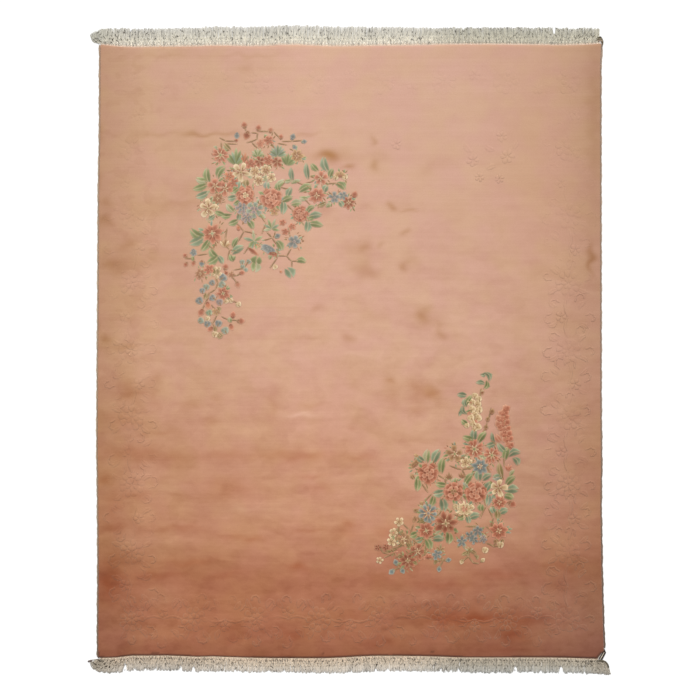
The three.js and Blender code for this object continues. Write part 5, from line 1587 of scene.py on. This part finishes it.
def tied_fringe(fringe):
    """The strands of a fringe, tassel by tassel, and the specks of painted shade on it."""
    strands = []
    count = fringe["tassels"]
    pitch = (fringe["to"] - fringe["from"]) / count
    first, second, third = ROW_DOWNS

    def tone(chance=fringe["dark"]):
        return DARK_YARN["tone"] if falls.random() < chance else falls.uniform(*YARN_TONE)

    def leg(start, end, bow=0.0):
        middle = ((start[0] + end[0]) / 2 + bow, (start[1] + end[1]) / 2)
        up = falls.uniform(*LEG["up"])
        rise = LEG["web_up"] if start[1] < 0 else 0
        line = [(*start, up + rise), (*middle, up + LEG["crown"] + rise / 2), (*end, up)]
        fringe_yarn(fringe, strands, line, LEG["width"], LEG["height"], tone())

    def knot(along, down):
        half, high = KNOT["long"] / 2, KNOT["height"]
        stray = falls.uniform(-KNOT["stray"], KNOT["stray"])
        line = [(along, down - half, high / 2), (along + stray, down, high / 2),
                (along, down + half, high / 2)]
        neck_wide, neck_high = KNOT["neck"]
        fringe_yarn(fringe, strands, line, np.array([neck_wide, KNOT["width"], neck_wide]),
                    np.array([neck_high, high, neck_high]), tone() * KNOT["light"])

    def hang(kind, start, end, toned):
        """A yarn that falls from start to end, in the tone that toned gives it last."""
        line = falling(start, end, falls.uniform(*kind["up"]), kind["sway"])
        widths = np.array([kind["width"]] * (FALL_PLACES - 1) + [kind["tip"]])
        fringe_yarn(fringe, strands, line, widths, kind["height"], toned())

    # A speck of painted shade, where a gap between the yarns shows dark.
    def speck_of_shade(along, down, long, slant):
        ends = [(along - slant / 2, down - long / 2), (along, down),
                (along + slant / 2, down + long / 2)]
        strands.append({
            "points": [(*fringe_place(fringe, *end), SHADE_SPECK["up"]) for end in ends],
            "width": np.array(SHADE_SPECK["widths"]), "height": SHADE_SPECK["height"],
            "colour": np.array(dye(SHADE_SPECK["colour"]))})

    def reach_at(along, length, notch, offset):
        """How far down the yarns hang there, rounded at each tassel and cut at the gaps."""
        cut = notch * (2 * offset / pitch) ** 2
        for at, depth, width in fringe["gaps"]:
            cut = max(cut, depth * (1 - ((along - at) / width) ** 2))
        return length - cut

    for i in range(count):
        low_edge = fringe["from"] + pitch * i
        middle = low_edge + pitch / 2 + falls.uniform(-TASSEL["stray"], TASSEL["stray"])
        length = eased(fringe["lengths"], middle) - falls.uniform(0, TASSEL["short"])
        notch = falls.uniform(*TASSEL["notch"])
        fanned = (i * pitch < fringe["left"]["stretch"]
                  or (count - i) * pitch < fringe["right"]["stretch"])
        calm = FAN["calm"] if fanned else 1
        lean = eased(fringe["leans"], middle) * calm
        stray = STRAY * calm
        yarns = FAN["count"] if fanned else UNDER["count"]
        for end in range(yarns):
            along = low_edge + pitch * (end + 0.5) / yarns
            reach = reach_at(along, length, notch, along - middle) + falls.uniform(*UNDER["stray"])
            # Now and then an under yarn is painted dark, as shade.
            shady = not fanned and falls.random() < SHADY_YARN["chance"]
            hang(UNDER, (along, UNDER["from"]), (along + lean, reach),
                 lambda: SHADY_YARN["tone"] if shady else falls.uniform(*UNDER["tone"]))
        for share in LEG["at_web"]:
            leg((middle + share * pitch, LEG["web"]), (middle + share * LEG["at_knot"], first))
        knot(middle, first)
        for way in (-1, 1):
            if not 0 <= i + way < count:
                way = 0
            between = middle + way * pitch / 2
            for bow in (-LEG["bow"], LEG["bow"]):
                leg((middle, first), (between, second), bow)
                leg((between, second), (middle, third), bow)
            if way >= 0:
                knot(between, second)
        knot(middle, third)
        yarns = FAN["count"] if fanned else FREE["count"]
        for end in range(yarns):
            place = (end + 0.5) / yarns - 0.5
            tip = middle + place * pitch * FREE["spread"] + falls.uniform(-stray, stray)
            reach = reach_at(tip, length, notch, place * pitch) - falls.uniform(0, FREE["short"])
            hang(FREE, (middle + place * FREE["at_knot"], third), (tip + lean, reach),
                 lambda: tone(DARK_YARN["end_chance"]))

    start, span, crowd = fringe["speck_zone"]
    for i in range(fringe["specks"]):
        along = falls.uniform(fringe["from"], fringe["to"])
        speck_of_shade(along, start + span * falls.random() ** crowd, falls.uniform(*SHADE_SPECK["long"]),
             falls.uniform(*SHADE_SPECK["slant"]))
    corners = ((fringe["from"], 1), (fringe["to"], -1))
    for (corner, inward), specks in zip(corners, fringe["corner_specks"]):
        for i in range(specks):
            speck_of_shade(corner + inward * falls.uniform(*CORNER_SHADE_SPECK["inward"]),
                 falls.uniform(*CORNER_SHADE_SPECK["down"]), falls.uniform(*CORNER_SHADE_SPECK["long"]),
                 falls.uniform(*CORNER_SHADE_SPECK["slant"]) * -inward)
    for i in range(2 * count):
        if falls.random() < fringe["speck_row"]:
            speck_of_shade(fringe["from"] + pitch * (i + 0.5) / 2, falls.uniform(*ROOT_SHADE_SPECK["down"]),
                 ROOT_SHADE_SPECK["long"], falls.uniform(*ROOT_SHADE_SPECK["slant"]))
    for points, width, colour in fringe["loose"]:
        strands.append({"points": [(x, y, LOOSE_UP) for x, y in points], "width": width,
                        "height": LOOSE_HEIGHT, "colour": dye(colour)})
    return strands


for fringe in FRINGES:
    piece = tubes(fringe["name"], tied_fringe(fringe), YARN_SIDES)
    finish_edge(piece, fringe["node"], cotton)
